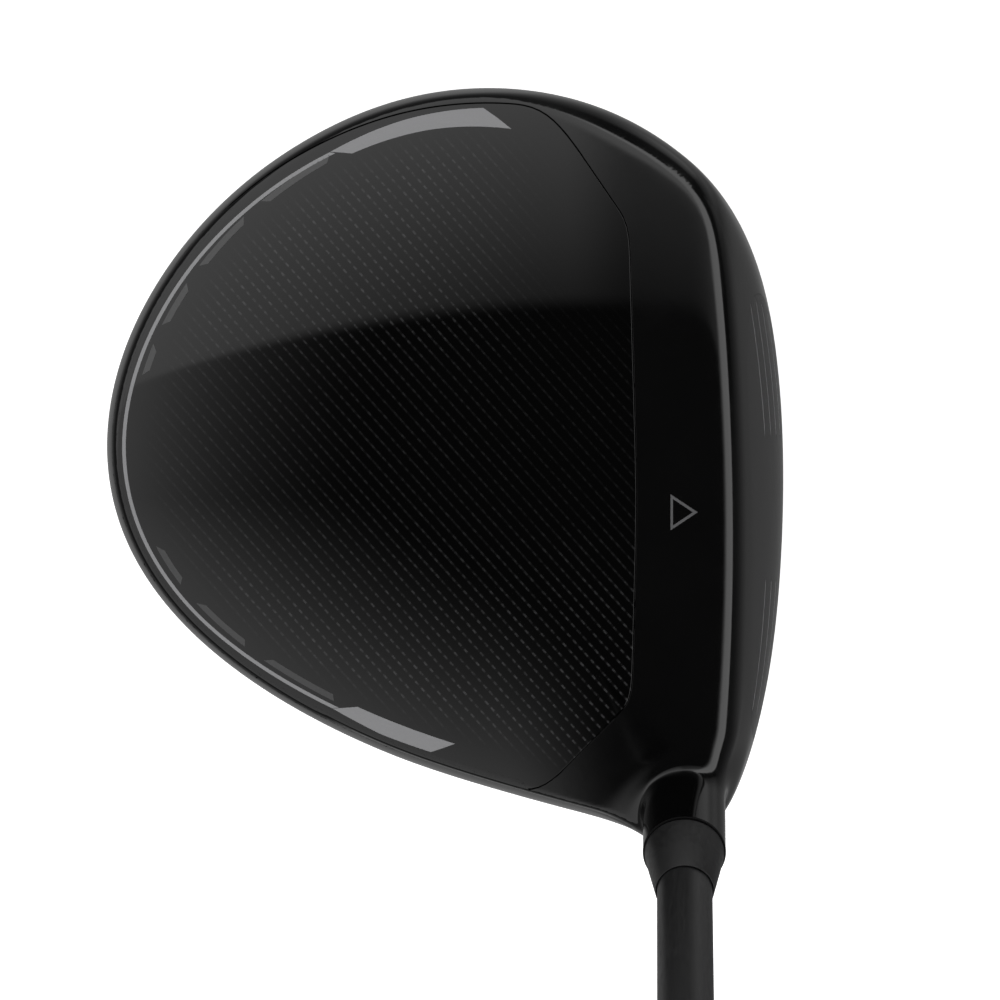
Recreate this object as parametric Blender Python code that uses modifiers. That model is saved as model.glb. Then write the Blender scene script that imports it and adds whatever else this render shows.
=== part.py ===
"""A left-handed golf driver at address: toe +Y, face +X, sole resting on Z = 0. Metres."""

import math

import bmesh
import bpy
import numpy as np
from mathutils import Matrix, Vector

# ---- the club as a whole ----
CLUB_LENGTH = 1.1557  # along the shaft, from the ground to the end of the grip
LIE = math.radians(58)  # shaft above the ground
LOFT = math.radians(10.5)  # face laid back from upright
GAP = 0.0003  # between pieces that touch

# ---- head: a plan outline between a crown dome, a sole dome and a bulged face ----
PIVOT = Vector((-0.006, 0.0, 0.030))  # every ray that draws a skin starts here
OUTLINE = (  # the widest plan line, from the heel side of the face round by the toe
    (0.0339, -0.0450),
    (0.0381, -0.0250),
    (0.0399, 0.0000),
    (0.0390, 0.0180),
    (0.0352, 0.0325),
    (0.0250, 0.0467),
    (0.0100, 0.0573),
    (-0.0108, 0.0620),
    (-0.0269, 0.0600),
    (-0.0425, 0.0533),
    (-0.0559, 0.0433),
    (-0.0672, 0.0295),
    (-0.0742, 0.0133),
    (-0.0755, 0.0000),
    (-0.0727, -0.0125),
    (-0.0663, -0.0233),
    (-0.0550, -0.0342),
    (-0.0406, -0.0433),
    (-0.0257, -0.0500),
    (-0.0041, -0.0567),
    (0.0075, -0.0597),
    (0.0165, -0.0615),
    (0.0256, -0.0605),
    (0.0299, -0.0550),
)
CROWN = (0.006, -0.0065, 0.0613, 0.114, 0.097)  # highest point, radii along X and Y
SOLE = (0.000, 0.000, -0.0008, 0.145, 0.105)  # lowest point before the ground flat
FACE_CENTRE = (0.0366, -0.0094, 0.028)
FACE_BULGE = 0.222  # radius heel to toe
FACE_ROLL = 0.300  # radius top to bottom
SHOULDER = 0.0085  # the skirt is widest this far under the rim of the crown,
HIGHEST_WIDE = 0.036  # but never higher than this
TALLEST_SHOULDER = 0.0095
SHOULDER_RADIUS = 0.038  # of the skirt above its widest line, seen from the side
SKIRT_RADIUS = 0.130  # and below it
RIM_ROUND = 0.0012  # how wide each pair of skins blends
KEEL_ROUND = 0.0050
FACE_ROUND = 0.0062
SEAM_INSET = 0.0020  # from the widest line in to the crown panel's edge
TOE_SEAM_INSET = 0.0029
TOE_ANGLE = math.radians(94)
TOE_SPREAD = math.radians(56)  # the inset eases back to the narrow one over this angle

# ---- walls, measured inwards from the outer skin ----
PANEL_DEPTH = 0.0008
LEDGE_DEPTH = 0.0011
FACE_DEPTH = 0.0019
WALL_DEPTH = 0.0022
LEDGE_WIDTH = 0.0035
AROUND = 48  # rays round the head
DOWN = 18  # steps from the lowest point to the highest
DOME_RINGS = (0.15, 0.3, 0.45, 0.6, 0.75, 0.9, 1.05)  # shares of the plan radius
CROWN_SPAN = (0.027, 0.080)  # how far each panel's cutters reach, along Z
SOLE_SPAN = (-0.010, 0.025)
FACE_SPAN = (0.020, 0.060)  # and along X
FACE_HALF_WIDTH = 0.0370
FACE_HALF_HEIGHT = 0.0205
FACE_FULLNESS = 2.4  # 2 is an ellipse, more is squarer
FACE_TILT = math.radians(4)
FACE_RAISED = 0.0005
FACE_STEPS = 48

# ---- hosel and its adjustable sleeve: u runs up the shaft axis from the ground ----
HOSEL_X = 0.0205
HOSEL_TOP = 0.07075
HOSEL_TOP_Y = -0.0652
HOSEL_RADIUS = 0.0070
BORE_RADIUS = 0.0056
KEYWAY_RADIUS = 0.0064
KEYWAY_DEPTH = 0.0040
NECK_BEVEL = 0.0002
NECK_BOTTOM = 0.0400
WEB_BOTTOM = 0.0176
WEB_TOP = 0.0216
WEB_HOLE_RADIUS = 0.0030
PORT_RADIUS = 0.0052
SLEEVE_BOTTOM = 0.0260
SLEEVE_RADIUS = 0.0053
SLEEVE_THREAD_END = 0.0380
COLLAR_THICKNESS = 0.0006
COLLAR_RADIUS = 0.0068
SCREW_HEAD_BOTTOM = 0.0120
SCREW_TIP = 0.0356
SCREW_RADIUS = 0.0022
SCREW_HEAD_RADIUS = 0.0040
BELOW_ALL = -0.02  # ends of the cutters that go right through the hosel
ABOVE_ALL = 0.09
SLEEVE_BEVEL = 0.0008
SCREW_BEVEL = 0.0006
SCREW_HEAD_LENGTH = 0.0040
HOSEL_SOCKET = (0.0045, 0.0025)  # across the flats, depth
WASHER_RADIUS = 0.0044
RETAINER_RADIUS = 0.0042
RETAINER_THICKNESS = 0.0010
FERRULE_BOTTOM = HOSEL_TOP + 2 * GAP + COLLAR_THICKNESS
FERRULE_LENGTH = 0.0106
FERRULE_RADIUS = 0.0070
FERRULE_BAND = 0.0012  # its straight foot
FERRULE_LIP = 0.00045  # its thickness at the top

# ---- shaft and grip ----
SHAFT_TIP = 0.0400
TIP_RADIUS = 0.00425
EXIT_RADIUS = 0.0046  # where the shaft leaves the ferrule
BUTT_RADIUS = 0.00762
SHAFT_END = 1.1500
SHAFT_WALL = 0.0012
GRIP_START = 0.886
GRIP_END = 1.1505
GRIP_MOUTH_RADIUS = 0.0094
GRIP_BUTT_RADIUS = 0.0132
GRIP_LIP = 0.0040  # length and step of the rolled edge at the mouth
GRIP_LIP_STEP = 0.0006
GRIP_BELL = 0.0200  # length and step of the widening at the butt
GRIP_BELL_STEP = 0.0008
TAPE_THICKNESS = 0.0004
TAPE_INSET = 0.0020
CAP_BEVEL = 0.0012
CAP_PLUG = 0.0100
VENT_RADIUS = 0.0012

# ---- sole weights: plan place of each, and its stack, inwards from the skin ----
WEIGHTS = {"back": (-0.059, 0.001), "toe": (0.006, 0.041), "heel": (-0.012, -0.040)}
WEIGHT_RADIUS = 0.0063
WEIGHT_FACE = 0.0005
WEIGHT_BACK = 0.0050
WEIGHT_EDGE = 0.0004  # bevels
WEIGHT_SCREW_TIP = 0.0100
WEIGHT_SCREW_HOLE = 0.0023  # radii of the screw's hole and of the hole for its head
WEIGHT_HEAD_HOLE = 0.0037
WEIGHT_HEAD_SEAT = 0.0032
WEIGHT_HEAD_TOP = 0.0008
WEIGHT_SOCKET = (0.0035, 0.0022)  # across the flats, depth from the skin
BOSS_RADIUS = 0.0085
BOSS_DEPTH = 0.0125
OUTSIDE = -0.006  # where a cutter that opens the sole starts

# ---- the small fill port on the heel side ----
PORT_AZIMUTH = math.radians(-112)
PORT_ELEVATION = math.radians(-3)
PLUG_RADIUS = 0.0028
PLUG_DEPTH = 0.0036
PLUG_SUNK = 0.0003
PORT_BOSS_RADIUS = 0.0050
PORT_BOSS_DEPTH = 0.0050
PORT_HOLE_DEPTH = 0.0065

TURN_STEPS = 28
SCREW_STEPS = 24
FINE_STEPS = 36
HOLE_SPARE = 0.001  # how much further than its screw a hole goes
MODEL = bpy.data.collections.new("golf_driver")
CUTTERS = bpy.data.collections.new("cutters")

MATERIALS = {  # base colour, roughness, metallic
    "black_paint": ((0.012, 0.012, 0.013), 0.22, 0.0),
    "carbon": ((0.010, 0.010, 0.011), 0.18, 0.0),
    "face_metal": ((0.030, 0.030, 0.032), 0.38, 0.8),
    "dark_alloy": ((0.045, 0.045, 0.048), 0.35, 0.9),
    "steel": ((0.35, 0.35, 0.36), 0.30, 1.0),
    "tungsten": ((0.16, 0.16, 0.17), 0.35, 1.0),
    "shaft_paint": ((0.022, 0.022, 0.024), 0.42, 0.0),
    "ferrule_plastic": ((0.020, 0.020, 0.021), 0.40, 0.0),
    "rubber": ((0.018, 0.018, 0.018), 0.85, 0.0),
    "tape": ((0.55, 0.52, 0.45), 0.80, 0.0),
}


def periodic_spline(knots, values):
    """A closed cubic spline through the values, as a function of angle."""
    count = len(knots)
    span = np.diff(np.append(knots, knots[0] + 2 * math.pi))
    slope = np.diff(np.append(values, values[0])) / span
    system = np.zeros((count, count))
    for i in range(count):
        system[i, i - 1] += span[i - 1]
        system[i, i] += 2 * (span[i - 1] + span[i])
        system[i, (i + 1) % count] += span[i]
    bend = np.linalg.solve(system, 6 * (slope - np.roll(slope, 1)))

    def value(angle):
        turned = knots[0] + (angle - knots[0]) % (2 * math.pi)
        i = np.clip(np.searchsorted(knots, turned, side="right") - 1, 0, count - 1)
        j = (i + 1) % count
        after = (turned - knots[i]) / span[i]
        before = 1 - after
        curve = (before**3 - before) * bend[i] + (after**3 - after) * bend[j]
        return before * values[i] + after * values[j] + curve * span[i] ** 2 / 6

    return value


def polar_outline(points):
    offsets = np.array(points) - np.array(PIVOT[:2])
    angles = np.unwrap(np.arctan2(offsets[:, 1], offsets[:, 0]))
    return periodic_spline(angles, np.hypot(offsets[:, 0], offsets[:, 1]))


plan_radius = polar_outline(OUTLINE)


def smooth_max(a, b, width):
    """The larger of two fields, with the crease rounded where they differ by under the width."""
    near = np.clip(1 - np.abs(a - b) / width, 0, None)
    return np.maximum(a, b) + near**3 * width / 6


def dome_height(x, y, dome, up):
    """Height of an elliptic dome, which bulges up for up = 1 and down for up = -1, and its lean."""
    centre_x, centre_y, top, radius_x, radius_y = dome
    tilt_x = (x - centre_x) / radius_x
    tilt_y = (y - centre_y) / radius_y
    height = top - up * 0.5 * (tilt_x**2 * radius_x + tilt_y**2 * radius_y)
    return height, np.sqrt(1 + tilt_x**2 + tilt_y**2)


def dome_field(x, y, z, dome, up):
    height, lean = dome_height(x, y, dome, up)
    return up * (z - height) / lean


def face_field(x, y, z):
    centre_x, centre_y, centre_z = FACE_CENTRE
    bulge = (y - centre_y) / FACE_BULGE
    roll = (z - centre_z) / FACE_ROLL
    surface = centre_x - math.tan(LOFT) * (z - centre_z)
    surface = surface - 0.5 * (bulge**2 * FACE_BULGE + roll**2 * FACE_ROLL)
    lean = math.tan(LOFT) + roll
    return (x - surface) / np.sqrt(1 + bulge**2 + lean**2)


def skirt_field(x, y, z):
    """Distance past the side wall, whose widest line follows the rim of the crown."""
    across = np.hypot(x - PIVOT.x, y - PIVOT.y)
    reach = plan_radius(np.arctan2(y - PIVOT.y, x - PIVOT.x))
    outwards = reach / np.maximum(across, 1e-6)
    rim_x = PIVOT.x + (x - PIVOT.x) * outwards
    rim_y = PIVOT.y + (y - PIVOT.y) * outwards
    widest = np.minimum(dome_height(rim_x, rim_y, CROWN, 1)[0] - SHOULDER, HIGHEST_WIDE)
    above = np.clip(z - widest, 0, TALLEST_SHOULDER)
    below = np.clip(widest - z, 0, None)
    return across - reach + 0.5 * (above**2 / SHOULDER_RADIUS + below**2 / SKIRT_RADIUS)


def head_field(points):
    """Distance outside the head's outer skin, negative inside."""
    x, y, z = points[..., 0], points[..., 1], points[..., 2]
    field = smooth_max(dome_field(x, y, z, CROWN, 1), skirt_field(x, y, z), RIM_ROUND)
    field = smooth_max(field, dome_field(x, y, z, SOLE, -1), KEEL_ROUND)
    field = smooth_max(field, face_field(x, y, z), FACE_ROUND)
    return np.maximum(field, -z)


def cast(directions, depth):
    """The points at a depth under the outer skin, along rays from the pivot."""
    low = np.zeros(directions.shape[:-1])
    high = np.full(directions.shape[:-1], 0.12)
    for _ in range(30):
        middle = (low + high) / 2
        outside = head_field(np.array(PIVOT) + middle[..., None] * directions) > -depth
        high = np.where(outside, middle, high)
        low = np.where(outside, low, middle)
    return np.array(PIVOT) + high[..., None] * directions


def rays(azimuth, elevation):
    flat = np.cos(elevation)
    columns = (flat * np.cos(azimuth), flat * np.sin(azimuth), np.sin(elevation))
    return np.stack(np.broadcast_arrays(*columns), axis=-1)


def ray_table():
    """Ray directions, ring by ring, closest together where the skin turns most."""
    azimuths = np.linspace(0, 2 * math.pi, AROUND, endpoint=False)
    fine = np.linspace(-math.pi / 2, math.pi / 2, 721)
    elevations = np.empty((AROUND, DOWN + 1))
    for i, azimuth in enumerate(azimuths):
        skin = cast(rays(azimuth, fine), 0)
        across = np.hypot(skin[:, 0] - PIVOT.x, skin[:, 1] - PIVOT.y)
        steps = np.stack([np.diff(across), np.diff(skin[:, 2])], axis=1)
        turn = np.abs(np.diff(np.unwrap(np.arctan2(steps[:, 1], steps[:, 0])), prepend=0))
        turn[0] = 0
        weight = np.hypot(steps[:, 0], steps[:, 1]) + 0.012 * turn
        travelled = np.append(0, np.cumsum(weight))
        wanted = np.linspace(0, travelled[-1], DOWN + 1)
        elevations[i] = np.interp(wanted, travelled, fine)
    return rays(azimuths[:, None], elevations)


RAYS = ray_table()


def material(name):
    made = bpy.data.materials.get(name)
    if made:
        return made
    colour, roughness, metallic = MATERIALS[name]
    made = bpy.data.materials.new(name)
    made.use_nodes = True
    shader = made.node_tree.nodes["Principled BSDF"]
    shader.inputs["Base Color"].default_value = (*colour, 1)
    shader.inputs["Roughness"].default_value = roughness
    shader.inputs["Metallic"].default_value = metallic
    made.diffuse_color = (*colour, 1)
    return made


def add_object(name, mesh, finish=None):
    """A piece with its material or, with no finish, a cutter."""
    item = bpy.data.objects.new(name, mesh)
    if finish:
        MODEL.objects.link(item)
        mesh.materials.append(material(finish))
        mesh.shade_smooth()
        mesh.set_sharp_from_angle(angle=math.radians(30))
        return item
    CUTTERS.objects.link(item)
    item.hide_render = True
    item.display_type = "WIRE"
    return item


def boolean(item, other, operation="DIFFERENCE"):
    """The manifold solver, because the exact one loses the thin ledges under the panels."""
    change = item.modifiers.new(f"{operation.lower()} {other.name}", "BOOLEAN")
    change.operation = operation
    change.object = other
    change.solver = "MANIFOLD"
    return item


def skin_surface(depth):
    """Vertices and outward triangles of the closed surface at one depth under the outer skin."""
    points = cast(RAYS, depth)
    rings = points[:, 1:-1].transpose(1, 0, 2)
    vertices = [points[0, 0], points[0, -1], *rings.reshape(-1, 3)]
    faces = []
    for i in range(AROUND):
        j = (i + 1) % AROUND
        top = 2 + (DOWN - 2) * AROUND
        faces.append((0, 2 + j, 2 + i))
        faces.append((1, top + i, top + j))
        for row in range(DOWN - 2):
            low = 2 + row * AROUND
            faces.append((low + i, low + j, low + AROUND + j))
            faces.append((low + i, low + AROUND + j, low + AROUND + i))
    return [tuple(v) for v in vertices], faces


def skin_solid(name, depth, finish=None):
    mesh = bpy.data.meshes.new(name)
    vertices, faces = skin_surface(depth)
    mesh.from_pydata(vertices, [], faces)
    return add_object(name, mesh, finish)


def skin_shell(name, outer_depth, inner_depth):
    """The layer of the head between two depths, as a cutter."""
    mesh = bpy.data.meshes.new(name)
    vertices, faces = skin_surface(outer_depth)
    inner_vertices, inner_faces = skin_surface(inner_depth)
    count = len(vertices)
    faces += [tuple(count + corner for corner in reversed(face)) for face in inner_faces]
    mesh.from_pydata(vertices + inner_vertices, [], faces)
    return add_object(name, mesh)


def prism(name, outline, low, high, finish=None, along=2):
    """An outline extruded along one axis; its points are given in the other two, in order."""
    shape = bmesh.new()
    corners = []
    for first, second in outline:
        place = [first, second]
        place.insert(along, low)
        corners.append(shape.verts.new(place))
    base = shape.faces.new(corners)
    lift = Vector((0, 0, 0))
    lift[along] = high - low
    grown = bmesh.ops.extrude_face_region(shape, geom=[base])
    moved = [v for v in grown["geom"] if isinstance(v, bmesh.types.BMVert)]
    bmesh.ops.translate(shape, verts=moved, vec=lift)
    bmesh.ops.recalc_face_normals(shape, faces=shape.faces)
    mesh = bpy.data.meshes.new(name)
    shape.to_mesh(mesh)
    shape.free()
    return add_object(name, mesh, finish)


def turned(name, profile, placement, finish=None, steps=TURN_STEPS):
    """A solid of revolution about its own Z. The (radius, height) profile runs down the outside."""
    mesh = bpy.data.meshes.new(name)
    count = len(profile)
    closed = profile[0][0] > 0
    edges = [(i, i + 1) for i in range(count - 1)] + ([(count - 1, 0)] if closed else [])
    mesh.from_pydata([(radius, 0, height) for radius, height in profile], edges, [])
    item = add_object(name, mesh, finish)
    item.matrix_world = placement
    spin = item.modifiers.new("Screw", "SCREW")
    spin.steps = spin.render_steps = steps
    spin.use_merge_vertices = True
    spin.merge_threshold = 0.00001
    spin.use_smooth_shade = True
    return item


def socket(name, placement, width, bottom, top):
    """A six-sided cutter for a screw's drive socket."""
    shape = bmesh.new()
    radius = width / math.sqrt(3)
    lift = Matrix.Translation((0, 0, (bottom + top) / 2))
    bmesh.ops.create_cone(
        shape, cap_ends=True, segments=6, radius1=radius, radius2=radius, depth=top - bottom, matrix=lift
    )
    mesh = bpy.data.meshes.new(name)
    shape.to_mesh(mesh)
    shape.free()
    item = add_object(name, mesh)
    item.matrix_world = placement
    return item


def shaft_placement():
    """Local Z runs up the shaft, from where its axis meets the ground."""
    up = Vector((0, -math.cos(LIE), math.sin(LIE)))
    foot = Vector((HOSEL_X, HOSEL_TOP_Y, 0)) + Vector((0, HOSEL_TOP * math.cos(LIE), 0))
    return Matrix.Translation(foot) @ up.to_track_quat("Z", "X").to_matrix().to_4x4()


def sole_placement(x, y):
    """Local Z points into the head from the sole under a plan point."""
    low, high = 0.0, PIVOT.z
    for _ in range(30):
        middle = (low + high) / 2
        outside = head_field(np.array([x, y, middle])) > 0
        low, high = (middle, high) if outside else (low, middle)
    return inward_placement(Vector((x, y, high)))


def inward_placement(point):
    step = 1e-5
    slope = []
    for axis in range(3):
        ahead, behind = np.array(point), np.array(point)
        ahead[axis] += step
        behind[axis] -= step
        slope.append(float(head_field(ahead) - head_field(behind)))
    inward = -Vector(slope).normalized()
    return Matrix.Translation(point) @ inward.to_track_quat("Z", "Y").to_matrix().to_4x4()


def cut_by_lines(centre, lines, blend, grow, steps, rim=None):
    """A round-cornered outline inside every (nx, ny, offset) line and the rim's reach at each angle."""
    outline = []
    for i in range(steps):
        angle = 2 * math.pi * i / steps
        direction = (math.cos(angle), math.sin(angle))
        nearness = None
        for normal_x, normal_y, offset in lines:
            reach = offset + grow - normal_x * centre[0] - normal_y * centre[1]
            wall = (normal_x * direction[0] + normal_y * direction[1]) / reach
            nearness = wall if nearness is None else smooth_max(nearness, wall, blend)
        if rim is not None:
            nearness = smooth_max(nearness, 1 / (rim(angle) + grow), blend)
        radius = 1 / nearness
        outline.append((centre[0] + radius * direction[0], centre[1] + radius * direction[1]))
    return outline


def line(angle, offset):
    """A half plane: the outward normal's angle in degrees, and its distance from the origin."""
    return (math.cos(math.radians(angle)), math.sin(math.radians(angle)), offset)


def crown_reach(angle):
    """From the pivot to the crown panel's edge, which stands further in at the toe."""
    from_toe = abs((angle - TOE_ANGLE + math.pi) % (2 * math.pi) - math.pi)
    ease = 0.5 + 0.5 * math.cos(math.pi * min(from_toe / TOE_SPREAD, 1))
    return plan_radius(angle) - SEAM_INSET - (TOE_SEAM_INSET - SEAM_INSET) * ease


CROWN_PANEL = {
    "centre": PIVOT[:2],
    "lines": (line(0, 0.0123), line(29.8, 0.0281), line(-44.3, 0.0362)),
    "blend": 2.5,
    "rim": crown_reach,
    "steps": 60,
}
SOLE_PANELS = {
    "toe": {
        "centre": (-0.026, 0.026),
        "lines": (
            line(-90, -0.0085),
            line(12, -0.0030),
            line(78, 0.0430),
            line(118, 0.0515),
            line(160, 0.0560),
        ),
        "blend": 32.0,
        "steps": 40,
    },
    "heel": {
        "centre": (-0.036, -0.018),
        "lines": (
            line(90, -0.0065),
            line(-14, -0.0130),
            line(-118, 0.0465),
            line(-152, 0.0510),
        ),
        "blend": 32.0,
        "steps": 40,
    },
}


def face_outline(grow):
    """A rounded oval across the face, in Y and Z, its toe end a little higher."""
    half_width, half_height = FACE_HALF_WIDTH + grow, FACE_HALF_HEIGHT + grow
    turn_cos, turn_sin = math.cos(FACE_TILT), math.sin(FACE_TILT)
    middle_z = FACE_CENTRE[2] + FACE_RAISED
    outline = []
    for i in range(FACE_STEPS):
        angle = 2 * math.pi * i / FACE_STEPS
        across, up = math.cos(angle), math.sin(angle)
        wide = abs(across / half_width) ** FACE_FULLNESS
        radius = (wide + abs(up / half_height) ** FACE_FULLNESS) ** (-1 / FACE_FULLNESS)
        y = FACE_CENTRE[1] + radius * (across * turn_cos - up * turn_sin)
        z = middle_z + radius * (across * turn_sin + up * turn_cos)
        outline.append((y, z))
    return outline


def dome_cutter(name, depth):
    """Everything under the crown's dome lowered by a depth, reaching past the rim all round."""
    angles = [2 * math.pi * i / AROUND for i in range(AROUND)]
    vertices = [(0, 0), *((share, angle) for share in DOME_RINGS for angle in angles)]
    places = []
    for share, angle in vertices:
        reach = share * plan_radius(angle)
        x = PIVOT.x + reach * math.cos(angle)
        y = PIVOT.y + reach * math.sin(angle)
        height, lean = dome_height(x, y, CROWN, 1)
        places.append((x, y, height - depth * lean))
    places += [(x, y, 0) for x, y, _ in places[-AROUND:]]
    faces = []
    for i in range(AROUND):
        j = (i + 1) % AROUND
        faces.append((0, 1 + i, 1 + j))
        for ring_start in range(1, len(places) - AROUND, AROUND):
            outer = ring_start + AROUND
            faces.append((ring_start + i, outer + i, outer + j))
            faces.append((ring_start + i, outer + j, ring_start + j))
    faces.append(tuple(reversed(range(len(places) - AROUND, len(places)))))
    mesh = bpy.data.meshes.new(name)
    mesh.from_pydata(places, [], faces)
    return add_object(name, mesh)


def fitted_crown():
    """The crown panel, and the recess and the opening that the body needs for it."""

    def outline(grow):
        return cut_by_lines(grow=grow, **CROWN_PANEL)

    low, high = CROWN_SPAN
    panel = prism("crown_panel", outline(0), low, high, "carbon")
    boolean(panel, skin_solid("crown_skin", 0), "INTERSECT")
    boolean(panel, dome_cutter("under_panel", PANEL_DEPTH))
    recess = prism("crown_panel_recess", outline(GAP), low, high)
    boolean(recess, dome_cutter("under_recess", LEDGE_DEPTH))
    return [recess, prism("crown_opening", outline(-LEDGE_WIDTH), low, high)]


def fitted_panel(name, outline_at, span, shells, finish, along=2):
    """A panel cut out of the skin; returns the recess that the body needs for it."""
    panel_shell, recess_shell = shells
    panel = prism(name, outline_at(0), *span, finish, along)
    boolean(panel, panel_shell, "INTERSECT")
    recess = prism(f"{name}_recess", outline_at(GAP), *span, None, along)
    return boolean(recess, recess_shell, "INTERSECT")


def make_panels():
    """The crown, sole and face panels, and every cutter that opens the body for them."""
    proud = -0.001
    thin = (skin_shell("panel_layer", 0, PANEL_DEPTH), skin_shell("ledge_layer", proud, LEDGE_DEPTH))
    through = WALL_DEPTH + 0.0002
    thick = (skin_shell("face_layer", 0, FACE_DEPTH), skin_shell("wall_layer", proud, through))
    cutters = fitted_crown()
    for side, shape in SOLE_PANELS.items():

        def sole_outline(grow, shape=shape):
            return cut_by_lines(grow=grow, **shape)

        name = f"sole_panel_{side}"
        cutters.append(fitted_panel(name, sole_outline, SOLE_SPAN, thin, "carbon"))
        cutters.append(prism(f"{name}_opening", sole_outline(-LEDGE_WIDTH), *SOLE_SPAN))
    cutters.append(fitted_panel("face_plate", face_outline, FACE_SPAN, thick, "face_metal", 0))
    return cutters


def tube(name, radius, low, high, placement):
    return turned(name, ((0, high), (radius, high), (radius, low), (0, low)), placement)


def make_weight(side, place):
    """One screwed-in sole weight; returns its boss and its pocket, for the body."""
    placement = sole_placement(*place)
    profile = (
        (WEIGHT_SCREW_HOLE, WEIGHT_BACK),
        (WEIGHT_RADIUS - WEIGHT_EDGE, WEIGHT_BACK),
        (WEIGHT_RADIUS, WEIGHT_BACK - WEIGHT_EDGE),
        (WEIGHT_RADIUS, WEIGHT_FACE + WEIGHT_EDGE),
        (WEIGHT_RADIUS - WEIGHT_EDGE, WEIGHT_FACE),
        (WEIGHT_HEAD_HOLE, WEIGHT_FACE),
        (WEIGHT_HEAD_HOLE, WEIGHT_HEAD_SEAT),
        (WEIGHT_SCREW_HOLE, WEIGHT_HEAD_SEAT),
    )
    turned(f"weight_{side}", profile, placement, "tungsten")
    shank = WEIGHT_SCREW_HOLE - GAP
    head = WEIGHT_HEAD_HOLE - GAP
    under_head = WEIGHT_HEAD_SEAT - GAP
    screw = turned(
        f"weight_screw_{side}",
        (
            (0, WEIGHT_SCREW_TIP),
            (shank - WEIGHT_EDGE, WEIGHT_SCREW_TIP),
            (shank, WEIGHT_SCREW_TIP - WEIGHT_EDGE),
            (shank, under_head),
            (head, under_head),
            (head, WEIGHT_HEAD_TOP + GAP),
            (head - GAP, WEIGHT_HEAD_TOP),
            (0, WEIGHT_HEAD_TOP),
        ),
        placement,
        "steel",
        SCREW_STEPS,
    )
    width, depth = WEIGHT_SOCKET
    boolean(screw, socket(f"weight_socket_{side}", placement, width, OUTSIDE, depth))
    boss = tube(f"boss_{side}", BOSS_RADIUS, OUTSIDE, BOSS_DEPTH, placement)
    pocket = turned(
        f"pocket_{side}",
        (
            (0, WEIGHT_SCREW_TIP + HOLE_SPARE),
            (WEIGHT_SCREW_HOLE, WEIGHT_SCREW_TIP + HOLE_SPARE),
            (WEIGHT_SCREW_HOLE, WEIGHT_BACK + GAP),
            (WEIGHT_RADIUS + GAP, WEIGHT_BACK + GAP),
            (WEIGHT_RADIUS + GAP, OUTSIDE),
            (0, OUTSIDE),
        ),
        placement,
    )
    return boss, pocket


def make_port_plug():
    """The soft plug in the small fill port on the heel side; returns its boss and its hole."""
    placement = inward_placement(Vector(cast(rays(PORT_AZIMUTH, PORT_ELEVATION), 0)))
    profile = ((0, PLUG_DEPTH), (PLUG_RADIUS, PLUG_DEPTH), (PLUG_RADIUS, PLUG_SUNK), (0, PLUG_SUNK))
    turned("port_plug", profile, placement, "rubber", SCREW_STEPS)
    boss = tube("port_boss", PORT_BOSS_RADIUS, OUTSIDE, PORT_BOSS_DEPTH, placement)
    hole = tube("port_hole", PLUG_RADIUS + GAP, OUTSIDE, PORT_HOLE_DEPTH, placement)
    return boss, hole


def make_body(panel_cutters, placement):
    body = skin_solid("head_body", 0, "black_paint")
    cavity = skin_solid("cavity", WALL_DEPTH)
    boolean(cavity, tube("hosel_boss", HOSEL_RADIUS, BELOW_ALL, ABOVE_ALL, placement))
    holes = [cavity]
    for side, place in WEIGHTS.items():
        boss, pocket = make_weight(side, place)
        boolean(cavity, boss)
        holes.append(pocket)
    boss, port = make_port_plug()
    boolean(cavity, boss)
    neck = turned(
        "hosel_neck",
        (
            (0, HOSEL_TOP),
            (HOSEL_RADIUS - NECK_BEVEL, HOSEL_TOP),
            (HOSEL_RADIUS, HOSEL_TOP - NECK_BEVEL),
            (HOSEL_RADIUS, NECK_BOTTOM),
            (0, NECK_BOTTOM),
        ),
        placement,
        steps=FINE_STEPS,
    )
    boolean(body, neck, "UNION")
    bore = turned(
        "hosel_bore",
        (
            (0, ABOVE_ALL),
            (KEYWAY_RADIUS, ABOVE_ALL),
            (KEYWAY_RADIUS, HOSEL_TOP - KEYWAY_DEPTH),
            (BORE_RADIUS, HOSEL_TOP - KEYWAY_DEPTH),
            (BORE_RADIUS, WEB_TOP),
            (WEB_HOLE_RADIUS, WEB_TOP),
            (WEB_HOLE_RADIUS, WEB_BOTTOM),
            (PORT_RADIUS, WEB_BOTTOM),
            (PORT_RADIUS, BELOW_ALL),
            (0, BELOW_ALL),
        ),
        placement,
    )
    for cutter in (*holes, port, bore, *panel_cutters):
        boolean(body, cutter)


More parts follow.
